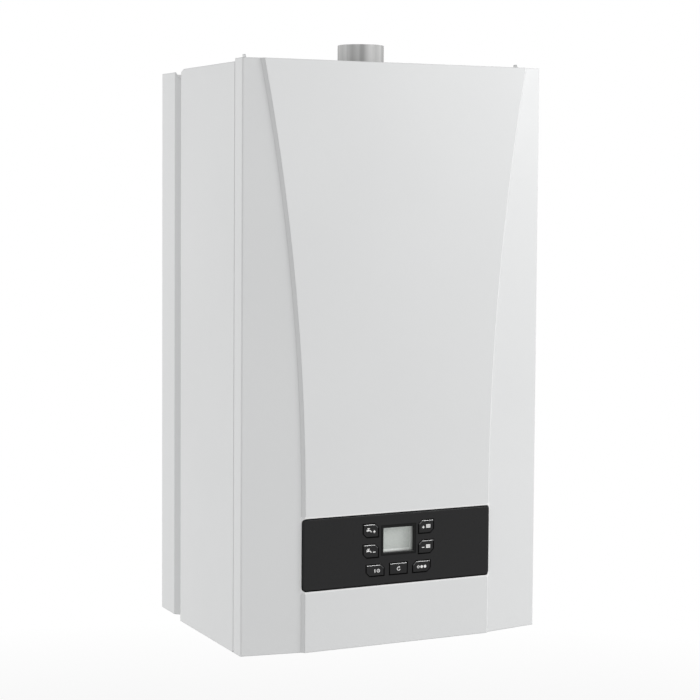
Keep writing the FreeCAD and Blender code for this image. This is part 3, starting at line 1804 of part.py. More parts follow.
def flow_pipe():
    points = [
        at(-stub_end, last_tube, exchanger_middle),
        at(-riser_x, last_tube, exchanger_middle),
        at(-riser_x, last_tube, flow_level),
        at(-outer_pipe, pipe_depth, flow_level),
        at(-outer_pipe, pipe_depth, barrel_top),
    ]
    return bent_tube(points, water_pipe_radius, water_pipe_bend)


def return_pipe():
    points = [
        at(outer_pipe, pipe_depth, pump_top),
        at(outer_pipe, pipe_depth, return_level),
        at(riser_x, first_tube, return_level),
        at(riser_x, first_tube, exchanger_middle),
        at(stub_end, first_tube, exchanger_middle),
    ]
    return bent_tube(points, water_pipe_radius, water_pipe_bend)


def expansion_pipe():
    start = vessel_height - vessel_radius - vessel_nozzle_length
    points = [
        at(0, vessel_middle, start),
        at(0, vessel_middle, vessel_pipe_level),
        at(pipe_pitch, pipe_depth, vessel_pipe_level),
        at(pipe_pitch, pipe_depth, barrel_top),
    ]
    nut = nut_up(0, vessel_middle, (start - pipe_nut, start), vessel_pipe_radius + pipe_nut_margin)
    return fused(bent_tube(points, vessel_pipe_radius, vessel_pipe_bend), nut)


def build():
    right = right_side_panel()
    pieces = {
        "rear_chassis": rear_chassis(),
        "right_side_panel": right,
        "left_side_panel": mirrored(right),
        "top_plate": top_plate(),
        "front_cover": front_cover(),
        "cover_screws": group([cover_screw(x) for x in (-cover_screw_x, cover_screw_x)]),
        "connection_rail": connection_rail(),
        "flue_collar": flue_collar(),
        "fan_volute": fan_volute(),
        "fan_impeller": fan_impeller(),
        "fan_motor": fan_motor(),
        "flue_hood": flue_hood(),
        "chamber_walls": group([chamber_back_sheet(), *both_sides(chamber_side_sheet())]),
        "chamber_ends": group([chamber_floor_sheet(), chamber_top_sheet()]),
        "chamber_cover": chamber_cover(),
        "chamber_gasket": chamber_gasket(),
        "sight_glass": sight_glass(),
        "chamber_screws": group([chamber_screw(place) for place in chamber_screw_places()]),
        "combustion_frame": combustion_frame(),
        "insulation_boards": insulation_boards(),
        "primary_heat_exchanger": primary_heat_exchanger(),
        "burner_blades": group([burner_blade(x) for x in blade_places()]),
        "burner_frame": burner_frame(),
        "gas_manifold": gas_manifold(),
        "electrodes": group([electrode(x) for x in electrode_places()]),
        "air_pressure_switch": air_pressure_switch(),
        "pressure_tubes": pressure_tubes(),
        "expansion_vessel": expansion_vessel(),
        "expansion_pipe": expansion_pipe(),
        "flow_group": flow_group(),
        "return_group": return_group(),
        "pump_motor": pump_motor(),
        "pump_impeller": pump_impeller(),
        "air_vent": air_vent(),
        "plate_heat_exchanger": plate_heat_exchanger(),
        "diverter_actuator": diverter_actuator(),
        "safety_valve": safety_valve(),
        "safety_valve_knob": turn_knob(safety_x, safety_front, safety_height),
        "filling_tap_knob": turn_knob(pipe_pitch, filling_front, filling_height),
        "gas_valve": gas_valve(),
        "gas_valve_coils": group([gas_valve_coil(x) for x in (-coil_spread, coil_spread)]),
        "gas_feed_pipe": gas_feed_pipe(),
        "heating_pipes": group([flow_pipe(), return_pipe()]),
        "heating_connectors": group(
            [connector(x, big_thread_radius, big_bore, group_low) for x in (-outer_pipe, outer_pipe)]
        ),
        "gas_connector": gas_connector(),
        "water_connectors": group(
            [connector(x, small_thread_radius, small_bore, group_low) for x in (-pipe_pitch, pipe_pitch)]
        ),
        "hinge_brackets": group(both_sides(hinge_bracket())),
        "control_housing": control_housing(),
        "control_lid": control_lid(),
        "control_fascia": control_fascia(),
        "display_lens": display_lens(),
        "display_module": display_module(),
        "control_board": control_board(),
    }
    pieces.update({name: push_button(button) for name, button in BUTTONS.items()})
    return pieces


os.makedirs("parts", exist_ok=True)
for piece_name, piece in build().items():
    write(piece_name, piece)
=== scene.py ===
"""Finishes, printed symbols and stage for the wall-hung gas boiler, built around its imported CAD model."""

import math

import bmesh
import bpy
from mathutils import Matrix, Vector


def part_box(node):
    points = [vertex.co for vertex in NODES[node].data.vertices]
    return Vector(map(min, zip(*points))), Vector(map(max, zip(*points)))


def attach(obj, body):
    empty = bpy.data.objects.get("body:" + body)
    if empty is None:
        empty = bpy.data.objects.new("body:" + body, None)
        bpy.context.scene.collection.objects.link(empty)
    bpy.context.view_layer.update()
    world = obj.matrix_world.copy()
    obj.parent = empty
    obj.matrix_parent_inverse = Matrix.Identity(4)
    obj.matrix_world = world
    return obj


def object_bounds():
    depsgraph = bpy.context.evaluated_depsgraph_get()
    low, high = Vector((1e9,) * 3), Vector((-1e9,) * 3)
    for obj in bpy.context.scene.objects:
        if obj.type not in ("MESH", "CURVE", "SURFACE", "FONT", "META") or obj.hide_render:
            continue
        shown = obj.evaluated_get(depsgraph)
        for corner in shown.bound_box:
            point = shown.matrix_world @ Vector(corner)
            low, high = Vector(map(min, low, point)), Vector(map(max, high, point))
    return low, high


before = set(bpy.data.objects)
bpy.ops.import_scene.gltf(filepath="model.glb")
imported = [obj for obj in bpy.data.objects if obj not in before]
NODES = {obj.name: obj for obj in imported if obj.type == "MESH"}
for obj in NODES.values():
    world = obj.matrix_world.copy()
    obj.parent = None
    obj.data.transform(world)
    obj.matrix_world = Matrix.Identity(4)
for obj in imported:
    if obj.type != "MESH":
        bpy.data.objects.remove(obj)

bl_info = {
    "name": "Wall-hung gas boiler",
    "version": (1, 0, 0),
    "blender": (4, 5, 0),
    "location": "View3D > Sidebar > Boiler",
    "description": "Finishes, button symbols and stage for a wall-hung gas boiler",
    "category": "Object",
}

CAD_BOX = [list(corner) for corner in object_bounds()]
FASCIA_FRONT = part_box("control_fascia")[0].y
MM = 0.001
# The keys as the part has them: the flange behind the fascia, and the cut at two corners.
KEY_FLANGE = 1.2 * MM
KEY_CUT = 4.2 * MM
# A painted highlight: the bright line of coat round the opening in the cover, where its edge catches the
# light.
OPENING_HIGHLIGHT = (0.97, 0.97, 0.97)
OPENING_HIGHLIGHT_WIDTH = 3.0 * MM
# The visible field of the display, inside its module's outline, and the tint of the glow painted on its face.
DISPLAY_SIDE_MARGIN = 3.4 * MM
DISPLAY_END_MARGIN = 5.6 * MM
DISPLAY_GLOW_TINT = (0.95, 1.0, 0.96)
# Where the flue collar's upright dark band runs, left of its middle.
DARK_BAND_PLACE = -11.0 * MM
# The photograph's frame in pixels, and the floor's size in metres.
FRAME_WIDTH = 700
FLOOR_RADIUS = 9.0
SHADOW_RADIUS = 2.0
WHITE_RADIUS = 4.0
# Each lamp's place, the point that it faces, its width and height, and the setting for its power.
LAMPS = {
    "key_lamp": ((1.6, -1.5, 0.5), (0.05, -0.3, -0.25), (0.8, 0.8), "key_power"),
    "side_lamp": ((-2.3, 1.05, 0.1), (-0.2, -0.15, -0.3), (1.2, 1.6), "side_power"),
    "top_lamp": ((0.93, -0.66, 1.3), (0.1, -0.28, -0.2), (0.38, 0.26), "top_power"),
}


def colour(label, about, value):
    return bpy.props.FloatVectorProperty(
        name=label, description=about, subtype="COLOR", size=3, min=0, max=1, default=value
    )


def length(label, about, value):
    return bpy.props.FloatProperty(
        name=label, description=about, unit="LENGTH", subtype="DISTANCE", default=value
    )


def share(label, about, value):
    return bpy.props.FloatProperty(
        name=label, description=about, subtype="FACTOR", min=0, max=1, default=value
    )


def power(label, about, value):
    return bpy.props.FloatProperty(
        name=label, description=about, subtype="POWER", unit="POWER", min=0, default=value
    )


def angle(label, about, degrees):
    return bpy.props.FloatProperty(
        name=label, description=about, subtype="ANGLE", unit="ROTATION", default=math.radians(degrees)
    )


class CasingFinish(bpy.types.PropertyGroup):
    """The white coat on the casing and the bare metal of the flue."""

    coat: colour("Coat", "Powder coat of the casing", (0.755, 0.762, 0.764))
    coat_roughness: share("Coat roughness", "Roughness of the powder coat", 0.42)
    dust_roughness: share("Dust roughness", "Roughness of level faces, under their film of dust", 0.9)
    peel: length("Orange peel", "Depth of the coat's fine ripple", 0.00002)
    edge: length("Edge radius", "Soft radius on the sheet's edges", 0.0016)
    flue: colour("Flue", "Bare metal of the flue collar", (0.66, 0.66, 0.655))


class PanelFinish(bpy.types.PropertyGroup):
    """The control panel: fascia, buttons, print and display."""

    fascia: colour("Fascia", "Moulded fascia", (0.012, 0.012, 0.0125))
    fascia_roughness: share("Fascia roughness", "Roughness of the moulded fascia", 0.3)
    # Lining of the display's recess: partly a grey bezel, partly a painted reflection of the display's light.
    bezel_and_reflection: colour("Bezel", "Lining of the display's recess", (0.66, 0.67, 0.66))
    button: colour("Button", "Push buttons", (0.006, 0.006, 0.0065))
    # Painted highlight on the upper edges of the push buttons.
    edge_highlight: colour("Painted edge highlight", "Upper edges of the push buttons", (0.12, 0.12, 0.12))
    ink: colour("Ink", "Printed symbols", (0.93, 0.93, 0.92))
    display: colour("Display", "Blank display face", (0.4, 0.42, 0.405))
    display_edge: colour("Display edge", "Rim of the display face", (0.95, 0.96, 0.95))
    # Painted glow: the unlit display is given a little emitted light.
    painted_glow: share("Display glow", "Painted glow of the display face", 0.2)
    board: colour("Board", "Lacquer of the circuit board", (0.012, 0.11, 0.04))
    print_height: length("Print height", "Thickness of the printed symbols", 0.00006)
    stroke: length("Stroke", "Line width of the printed symbols", 0.00075)


class InsideFinish(bpy.types.PropertyGroup):
    """Metals, plastics and rubber inside the casing."""

    zinc: colour("Zinc", "Zinc-coated sheet", (0.56, 0.58, 0.6))
    alloy: colour("Alloy", "Cast and pressed light alloy", (0.62, 0.62, 0.61))
    brass: colour("Brass", "Hot-pressed brass", (0.62, 0.43, 0.17))
    copper: colour("Copper", "Drawn copper", (0.72, 0.31, 0.17))
    vessel: colour("Vessel", "Paint of the expansion vessel", (0.42, 0.018, 0.014))
    dark: colour("Dark plastic", "Moulded dark plastic", (0.018, 0.018, 0.02))
    motor: colour("Motor", "Enamel of the two motors", (0.03, 0.032, 0.036))
    safety_knob: colour("Safety knob", "Knob of the safety valve", (0.45, 0.015, 0.012))
    filling_knob: colour("Filling knob", "Knob of the filling tap", (0.02, 0.075, 0.35))
    gasket: colour("Gasket", "Rubber gasket of the chamber", (0.03, 0.03, 0.03))
    hose: colour("Hose", "Silicone pressure tubes", (0.5, 0.47, 0.38))
    fibre: colour("Fibre board", "Insulation of the chamber", (0.72, 0.69, 0.61))
    ceramic: colour("Ceramic", "Glazed bodies of the electrodes", (0.8, 0.79, 0.75))


class StageSettings(bpy.types.PropertyGroup):
    """Camera, floor and light."""

    camera_place: bpy.props.FloatVectorProperty(
        name="Camera place",
        description="Where the camera stands, in the part's frame",
        subtype="TRANSLATION",
        unit="LENGTH",
        size=3,
        default=(-1.0274, -2.2897, -0.1028),
    )
    camera_yaw: angle("Yaw", "Turn to the right from facing the wall", 25.744)
    camera_pitch: angle("Pitch", "Tilt upwards from level", -3.476)
    camera_roll: angle("Roll", "Turn about the view line", 0.392)
    lens: bpy.props.FloatProperty(
        name="Lens", description="Focal length on a 36 mm sensor", subtype="DISTANCE_CAMERA", default=96.15
    )
    shift: bpy.props.FloatProperty(
        name="Shift", description="Upward shift of the frame, in frame widths", default=-50 / FRAME_WIDTH
    )
    floor_drop: length("Floor drop", "Height of the casing's bottom above the floor", 0.9)
    fill: share("Fill", "Level of the surrounding light", 0.615)
    key_power: power("Key", "Power of the lamp at the front right", 20)
    side_power: power("Side", "Power of the lamp behind on the left", 15.6)
    top_power: power("Top", "Power of the lamp overhead", 4)


class Socket:
    """A node's output that takes part in sums: an expression adds the Math nodes it needs."""

    def __init__(self, nodes, socket):
        self.nodes = nodes
        self.socket = socket

    def math(self, operation, first, second):
        return self.nodes.node("ShaderNodeMath", {"operation": operation}, {0: first, 1: second})

    def __add__(self, other):
        return self.math("ADD", self, other)

    __radd__ = __add__

    def __sub__(self, other):
        return self.math("SUBTRACT", self, other)

    def __rsub__(self, other):
        return self.math("SUBTRACT", other, self)

    def __mul__(self, other):
        return self.math("MULTIPLY", self, other)

    __rmul__ = __mul__

    def __gt__(self, other):
        return self.math("GREATER_THAN", self, other)

    def __lt__(self, other):
        return self.math("LESS_THAN", self, other)

    def __or__(self, other):
        return self.math("MAXIMUM", self, other)

    def __and__(self, other):
        return self.math("MINIMUM", self, other)

    def __abs__(self):
        return self.math("ABSOLUTE", self, 0.0)


class NodeTree:
    """The nodes of a material or of the world, which start empty."""

    def __init__(self, owner):
        owner.use_nodes = True
        self.tree = owner.node_tree
        self.tree.nodes.clear()

    def node(self, kind, settings, sockets, out=0):
        made = self.tree.nodes.new(kind)
        for key, value in settings.items():
            setattr(made, key, value)
        for key, value in sockets.items():
            self.join(made.inputs[key], value)
        return Socket(self, made.outputs[out]) if made.outputs else made

    def join(self, target, value):
        if isinstance(value, Socket):
            self.tree.links.new(value.socket, target)
        elif hasattr(target.default_value, "__len__") and len(target.default_value) == 4:
            target.default_value = (*value[:3], 1.0)
        else:
            target.default_value = value

    def seen(self):
        """One for what the camera sees, straight, mirrored or through glass."""
        rays = ("Is Camera Ray", "Is Glossy Ray", "Is Transmission Ray")
        camera, glossy, through = (self.node("ShaderNodeLightPath", {}, {}, ray) for ray in rays)
        return camera | glossy | through


class Recipe(NodeTree):
    """One material: a Principled shader fed from Object coordinates."""

    def __init__(self, name, **constants):
        self.material = bpy.data.materials.new(name)
        super().__init__(self.material)
        self.surface = self.node("ShaderNodeBsdfPrincipled", {}, {})
        self.shader = self.surface.socket.node
        self.out = self.node("ShaderNodeOutputMaterial", {}, {"Surface": self.surface})
        self.place = self.node("ShaderNodeTexCoord", {}, {}, "Object")
        self.feed(**{key.replace("_", " ").title().replace("Ior", "IOR"): v for key, v in constants.items()})

    def feed(self, **sockets):
        """Set or link sockets of the shader."""
        for key, value in sockets.items():
            self.join(self.shader.inputs[key], value)

    def noise(self, scale, detail=3.0, stretch=None):
        place = self.place
        if stretch:
            place = self.node("ShaderNodeMapping", {}, {"Vector": place, "Scale": stretch})
        return self.node("ShaderNodeTexNoise", {}, {"Vector": place, "Scale": scale, "Detail": detail})

    def cells(self, scale, out="Color", feature="F1"):
        settings = {"feature": feature}
        return self.node("ShaderNodeTexVoronoi", settings, {"Vector": self.place, "Scale": scale}, out)

    def axis(self, name):
        return self.node("ShaderNodeSeparateXYZ", {}, {0: self.place}, name)

    def mix(self, share_of_second, first, second):
        settings = {"data_type": "RGBA", "clamp_factor": True}
        sockets = {0: share_of_second, 6: first, 7: second}
        return self.node("ShaderNodeMix", settings, sockets, 2)

    def range(self, value, low, high, to_low=0.0, to_high=1.0):
        sockets = {"Value": value, "From Min": low, "From Max": high, "To Min": to_low, "To Max": to_high}
        return self.node("ShaderNodeMapRange", {"clamp": True}, sockets)

    def facing(self):
        return self.node("ShaderNodeNewGeometry", {}, {}, "True Normal")

    def own_facing(self, name):
        """How far a face looks along an axis of its piece, which stays the same as the piece moves."""
        settings = {"vector_type": "NORMAL", "convert_from": "WORLD", "convert_to": "OBJECT"}
        own = self.node("ShaderNodeVectorTransform", settings, {0: self.facing()})
        return self.node("ShaderNodeSeparateXYZ", {}, {0: own}, name)

    def edges(self, radius, reach=0.05):
        """One on an edge of the solid, where a rounded normal leaves the true one, and nothing elsewhere."""
        soft = self.node("ShaderNodeBevel", {"samples": 6}, {"Radius": radius})
        operation = {"operation": "DOT_PRODUCT"}
        along = self.node("ShaderNodeVectorMath", operation, {0: soft, 1: self.facing()}, "Value")
        return self.range(1.0 - along, 0.0, reach)

    def slopes(self):
        """One on upright faces that run slantwise, and nothing on those square to the wall."""
        across, out = self.own_facing("X"), self.own_facing("Y")
        return self.range(abs(across * out), 0.05, 0.3)

    def slant(self):
        """How far a face leans back: nothing on an upright or level one."""
        return 0.0 - self.own_facing("Y") * self.own_facing("Z")

    def beyond(self, box, lean=0, cut=0.0):
        """Distance outside a node's outline, seen from the front. A leaning one has two corners cut."""
        low, high = box
        across = self.axis("X") - (low.x + high.x) / 2
        up = self.axis("Z") - (low.z + high.z) / 2
        half_width = (high.x - low.x) / 2
        half_height = (high.z - low.z) / 2
        away = (abs(across) - half_width) | (abs(up) - half_height)
        if lean:
            away = away | (abs(across - lean * up) - (half_width + half_height - cut)) * math.sqrt(0.5)
        return away

    def relief(self, height, depth, edge=0.0):
        """Bump of a height field, over edges that are softened to a small radius."""
        sockets = {"Height": height, "Distance": depth, "Strength": 1.0}
        if edge:
            sockets["Normal"] = self.node("ShaderNodeBevel", {"samples": 4}, {"Radius": edge})
        self.feed(Normal=self.node("ShaderNodeBump", {}, sockets))


def shade(value, factor):
    """A colour made lighter or darker."""
    return tuple(min(1.0, channel * factor) for channel in value)


def powder_coat(name, tint, roughness, dusty, peel, edge, painted_fold_shade=1.0, opening=None):
    """Sprayed and baked coat: fine orange peel, a breath of unevenness, a thin grey line of painted shade
    along the sheet's edges and creases, painted shade on sloping folds, a painted highlight round an opening,
    and dust that dulls level faces."""
    r = Recipe(name, specular_ior_level=0.4)
    film = r.mix(r.range(r.noise(3.0, 2.0), 0.35, 0.65), shade(tint, 0.985), shade(tint, 1.01))
    # Painted shade: faces on slantwise folds are coloured greyer, as they fall in shade.
    if painted_fold_shade < 1.0:
        film = r.mix(r.slopes(), film, shade(tint, painted_fold_shade))
    # Painted shade: a thin grey line along every edge and crease of the sheet, where shade falls.
    coat = r.mix(r.edges(edge), film, shade(tint, 0.9))
    # Painted highlight: a bright line round the opening, as its edge catches the light.
    if opening:
        bead = r.edges(2.0 * edge, 0.02) * (r.beyond(opening) < OPENING_HIGHLIGHT_WIDTH)
        coat = r.mix(bead, coat, OPENING_HIGHLIGHT)
    r.feed(**{"Base Color": coat})
    skin = r.range(r.noise(40.0), 0.3, 0.7, roughness - 0.03, roughness + 0.04)
    level = r.range(r.own_facing("Z"), 0.7, 0.95)
    r.feed(Roughness=skin + level * (dusty - roughness))
    r.relief(r.noise(620.0, 2.0) + r.noise(170.0, 1.0) * 1.5, peel, edge)
    return r.material


def zinc_sheet(name, tint, edge=0.0004):
    """Galvanised sheet with its spangle of crystals."""
    r = Recipe(name, metallic=1.0)
    spangle = r.node("ShaderNodeSeparateColor", {}, {0: r.cells(190.0)}, 0)
    streak = r.noise(60.0, 3.0, (1.0, 1.0, 0.12))
    tone = spangle * 0.6 + streak * 0.4
    r.feed(**{"Base Color": r.mix(tone, shade(tint, 0.92), shade(tint, 1.07))})
    r.feed(Roughness=r.range(spangle, 0.0, 1.0, 0.38, 0.46))
    r.relief(r.noise(380.0, 2.0), 0.000015, edge)
    return r.material


def cast_alloy(name, tint, grain=520.0, roughness=0.48, edge=0.0008):
    """Cast metal with a fine sandy skin and a cloudy, uneven tone."""
    r = Recipe(name, metallic=1.0)
    cloud = r.noise(28.0, 4.0)
    r.feed(**{"Base Color": r.mix(r.range(cloud, 0.3, 0.7), shade(tint, 0.8), shade(tint, 1.06))})
    r.feed(Roughness=r.range(cloud, 0.3, 0.7, roughness + 0.08, roughness - 0.06))
    r.relief(r.noise(grain, 4.0), 0.00006, edge)
    return r.material


def turned_metal(name, tint, roughness=0.52):
    """Light alloy with upright tool streaks and a bright, uneven skin."""
    r = Recipe(name, metallic=0.3)
    streak = r.noise(120.0, 4.0, (1.0, 1.0, 0.02))
    band = r.noise(26.0, 2.0, (1.0, 1.0, 0.02))
    # A darker upright band on the collar, left of its middle.
    off_band = r.range(abs(r.axis("X") - DARK_BAND_PLACE), 1.5 * MM, 5.0 * MM)
    tone = r.range(streak * 0.5 + band * 0.5, 0.36, 0.62) * (0.25 + 0.75 * off_band)
    r.feed(**{"Base Color": r.mix(tone, shade(tint, 0.5), shade(tint, 0.95))})
    r.feed(Roughness=r.range(streak, 0.3, 0.7, roughness, roughness + 0.15))
    r.relief(streak, 0.00004, 0.0005)
    return r.material


def drawn_tube(name, tint, roughness=0.3):
    """Drawn tube: faint draw lines and patches of tarnish."""
    r = Recipe(name, metallic=1.0)
    tarnish = r.range(r.noise(18.0, 5.0), 0.42, 0.68)
    r.feed(**{"Base Color": r.mix(tarnish, shade(tint, 1.05), shade(tint, 0.62))})
    r.feed(Roughness=r.range(tarnish, 0.0, 1.0, roughness, roughness + 0.16))
    r.relief(r.noise(900.0, 1.0, (1.0, 1.0, 0.05)), 0.000012, 0.0003)
    return r.material


def moulded(
    name, tint, roughness=0.42, spark=900.0, relief=0.000025, edge=0.0005, specular=0.5, edge_highlight=None
):
    """Moulded plastic with a spark-eroded texture, whose upper edges may carry a painted pale highlight under
    a real glossy coat.
    """
    r = Recipe(name, specular_ior_level=specular, coat_roughness=0.08)
    fine = r.noise(spark, 2.0)
    cloud = r.noise(9.0, 3.0)
    skin = r.mix(cloud, shade(tint, 0.9), shade(tint, 1.12))
    if edge_highlight:
        # Painted highlight: upper edges coloured pale, as they catch the light from above; the coat there adds
        # real gloss.
        upper = r.slant() > 0.3
        skin = r.mix(upper, skin, edge_highlight)
        r.feed(**{"Coat Weight": upper * 0.6})
    r.feed(**{"Base Color": skin})
    r.feed(Roughness=r.range(fine, 0.3, 0.7, roughness - 0.04, roughness + 0.06))
    r.relief(fine, relief, edge)
    return r.material


def fascia_plastic(name, tint, roughness, bezel_and_reflection):
    """Moulded fascia: a fine spark texture, a painted black shadow line round each key and the display, and a
    pale lining of the display's recess, partly a grey bezel and partly a painted reflection of the display,
    that fades forward."""
    r = Recipe(name, specular_ior_level=0.22)
    fine = r.noise(1100.0, 2.0)
    display = r.beyond(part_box("display_lens"))
    nearest = display + 0.7 * MM
    for node, (_, _, lean) in BUTTON_SYMBOLS.items():
        nearest = nearest & r.beyond(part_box(node), lean, KEY_CUT + KEY_FLANGE) + KEY_FLANGE
    # Painted shadow: a black line round each key and the display, where the gaps between them fall in shade.
    gap_shadow = r.range(nearest, 1.0 * MM, 1.6 * MM, 1.0, 0.0)
    # Partly a grey bezel, partly a painted reflection: the recess walls grow pale deeper in, as if lit by the
    # display.
    inwards = r.range(r.axis("Y"), FASCIA_FRONT + 1.0 * MM, FASCIA_FRONT + 7.0 * MM)
    lining_and_reflection = (display < 0.2 * MM) * inwards
    skin = r.mix(r.noise(9.0, 3.0), shade(tint, 0.9), shade(tint, 1.12))
    r.feed(**{"Base Color": r.mix(lining_and_reflection, r.mix(gap_shadow, skin, (0, 0, 0)), bezel_and_reflection)})
    r.feed(Metallic=gap_shadow * (display > 0.2 * MM))
    r.feed(Roughness=r.range(fine, 0.3, 0.7, roughness - 0.04, roughness + 0.06))
    r.relief(fine, 0.000012, 0.0005)
    return r.material


def enamel(name, tint, roughness=0.22):
    """Stoved gloss paint over a slightly uneven pressing."""
    r = Recipe(name, coat_weight=0.4, coat_roughness=0.08)
    cloud = r.noise(14.0, 3.0)
    r.feed(**{"Base Color": r.mix(cloud, shade(tint, 0.85), shade(tint, 1.15))})
    r.feed(Roughness=r.range(cloud, 0.3, 0.7, roughness, roughness + 0.1))
    r.relief(r.noise(210.0, 2.0), 0.00003, 0.0008)
    return r.material


def soft_rubber(name, tint):
    """Soft rubber with a matt, cloudy skin."""
    r = Recipe(name, specular_ior_level=0.3)
    fine = r.noise(420.0, 4.0)
    r.feed(**{"Base Color": r.mix(fine, shade(tint, 0.8), shade(tint, 1.2))})
    r.feed(Roughness=r.range(fine, 0.3, 0.7, 0.6, 0.78))
    r.relief(fine, 0.00005, 0.0004)
    return r.material


def fibre_board(name, tint):
    """Pressed ceramic fibre: matted strands and a chalky face."""
    r = Recipe(name, specular_ior_level=0.2)
    strand = r.noise(260.0, 6.0, (1.0, 1.0, 0.25))
    r.feed(**{"Base Color": r.mix(strand, shade(tint, 0.82), shade(tint, 1.1))})
    r.feed(Roughness=r.range(strand, 0.3, 0.7, 0.85, 0.95))
    r.relief(strand, 0.0003)
    return r.material


def glazed(name, tint):
    """Glazed ceramic with faint specks."""
    r = Recipe(name, coat_weight=0.5, coat_roughness=0.05)
    speck = r.noise(150.0, 2.0)
    r.feed(**{"Base Color": r.mix(speck, shade(tint, 0.94), shade(tint, 1.04))})
    r.feed(Roughness=r.range(speck, 0.3, 0.7, 0.18, 0.26))
    r.relief(r.noise(60.0, 2.0), 0.00003, 0.0003)
    return r.material


def circuit_board(name, tint):
    """Green lacquer over copper tracks."""
    r = Recipe(name, coat_weight=0.6, coat_roughness=0.1)
    track = r.cells(240.0, "Distance", "DISTANCE_TO_EDGE") < 0.09
    r.feed(**{"Base Color": r.mix(track, tint, shade(tint, 1.9))})
    r.feed(Roughness=r.range(r.noise(90.0), 0.3, 0.7, 0.28, 0.4))
    r.relief(track, 0.00003, 0.0003)
    return r.material


def clear_lens(name):
    """Clear window: a thin tint, and its gloss."""
    r = Recipe(name, base_color=(0.75, 0.78, 0.75), alpha=0.12, specular_ior_level=0.35)
    smear = r.noise(35.0, 4.0)
    r.feed(Roughness=r.range(smear, 0.4, 0.8, 0.04, 0.12))
    r.relief(smear, 0.000004)
    return r.material


def display_face(name, face, rim, painted_glow):
    """Blank liquid crystal: a pale rim, a greyer field with a soft mottle, and a painted glow: a little
    emitted light, though the display is unlit."""
    low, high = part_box("display_module")
    middle = (low + high) / 2
    reach = (high - low) / 2
    # Painted glow: emission on the display face, which is no lamp.
    r = Recipe(name, specular_ior_level=0.4, emission_color=DISPLAY_GLOW_TINT, emission_strength=painted_glow)
    across = abs(r.axis("X") - middle.x) - (reach.x - DISPLAY_SIDE_MARGIN)
    up = abs(r.axis("Z") - middle.z) - (reach.z - DISPLAY_END_MARGIN)
    border = r.range(across | up, -0.2 * MM, 0.3 * MM)
    field = r.mix(r.noise(24.0, 2.0), shade(face, 0.96), shade(face, 1.05))
    r.feed(**{"Base Color": r.mix(border, field, rim)})
    r.feed(Roughness=r.range(r.noise(300.0), 0.3, 0.7, 0.22, 0.3))
    r.relief(border, 0.0001)
    return r.material


def ink(name, tint):
    """Screen-printed ink."""
    r = Recipe(name, specular_ior_level=0.3)
    grain = r.noise(1500.0, 2.0)
    r.feed(**{"Base Color": r.mix(grain, shade(tint, 0.94), tint)})
    r.feed(Roughness=r.range(grain, 0.3, 0.7, 0.45, 0.6))
    r.relief(grain, 0.00001)
    return r.material


def pale_floor(name):
    """Matt floor that keeps the object's shadow near it and runs out to white."""
    r = Recipe(name, base_color=(0.9, 0.9, 0.9))
    r.feed(Roughness=r.range(r.noise(6.0), 0.3, 0.7, 0.85, 0.95))
    away = r.node("ShaderNodeVectorMath", {"operation": "LENGTH"}, {0: r.place}, "Value")
    white = r.node("ShaderNodeEmission", {}, {"Color": (1, 1, 1), "Strength": 1.0})
    cover = r.seen() * r.range(away, SHADOW_RADIUS, WHITE_RADIUS, 0.6, 1.0)
    r.join(r.out.inputs["Surface"], r.node("ShaderNodeMixShader", {}, {0: cover, 1: r.surface, 2: white}))
    return r.material


def paint(material, *names):
    """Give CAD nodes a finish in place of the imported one."""
    for name in names:
        data = NODES[name].data
        data.materials.clear()
        data.materials.append(material)


class BOILER_OT_casing(bpy.types.Operator):
    """Coat the casing and finish the flue collar"""

    bl_idname = "boiler.casing"
    bl_label = "Casing finish"

    def execute(self, context):
        p = context.scene.boiler_casing
        coat = (p.coat, p.coat_roughness, p.dust_roughness, p.peel, p.edge)
        paint(powder_coat("white_coat", *coat), "left_side_panel", "right_side_panel", "top_plate")
        paint(powder_coat("folded_coat", *coat, painted_fold_shade=0.95), "rear_chassis")
        paint(powder_coat("pressed_coat", *coat, opening=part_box("control_fascia")), "front_cover")
        paint(turned_metal("flue_metal", p.flue), "flue_collar")
        return {"FINISHED"}


class BOILER_OT_inside(bpy.types.Operator):
    """Finish the metals, plastics and rubber inside the casing"""

    bl_idname = "boiler.inside"
    bl_label = "Inside finishes"

    def execute(self, context):
        p = context.scene.boiler_inside
        paint(
            zinc_sheet("zinc_sheet", p.zinc),
            "connection_rail", "fan_volute", "chamber_walls", "chamber_ends", "chamber_cover",
            "burner_blades", "burner_frame", "hinge_brackets", "plate_heat_exchanger",
        )
        paint(
            drawn_tube("plated_steel", shade(p.zinc, 1.1), 0.24),
            "cover_screws", "chamber_screws", "gas_feed_pipe",
        )
        paint(
            cast_alloy("light_alloy", p.alloy),
            "fan_impeller", "flue_hood", "combustion_frame", "gas_manifold", "gas_valve",
        )
        paint(
            cast_alloy("pressed_brass", p.brass, 640.0, 0.36),
            "flow_group", "return_group", "air_vent", "safety_valve",
            "heating_connectors", "gas_connector", "water_connectors",
        )
        paint(
            drawn_tube("drawn_copper", p.copper),
            "heating_pipes", "expansion_pipe", "primary_heat_exchanger",
        )
        paint(enamel("vessel_enamel", p.vessel), "expansion_vessel")
        paint(enamel("motor_enamel", p.motor, 0.34), "pump_motor", "fan_motor")
        paint(
            moulded("dark_plastic", p.dark),
            "air_pressure_switch", "pump_impeller", "diverter_actuator", "gas_valve_coils",
            "control_housing", "control_lid",
        )
        paint(moulded("knob_red", p.safety_knob, 0.36), "safety_valve_knob")
        paint(moulded("knob_blue", p.filling_knob, 0.36), "filling_tap_knob")
        paint(soft_rubber("gasket_rubber", p.gasket), "chamber_gasket")
        paint(soft_rubber("silicone_tube", p.hose), "pressure_tubes")
        paint(fibre_board("fibre_board", p.fibre), "insulation_boards")
        paint(glazed("glazed_ceramic", p.ceramic), "electrodes")
        paint(clear_lens("sight_glass"), "sight_glass")
        return {"FINISHED"}


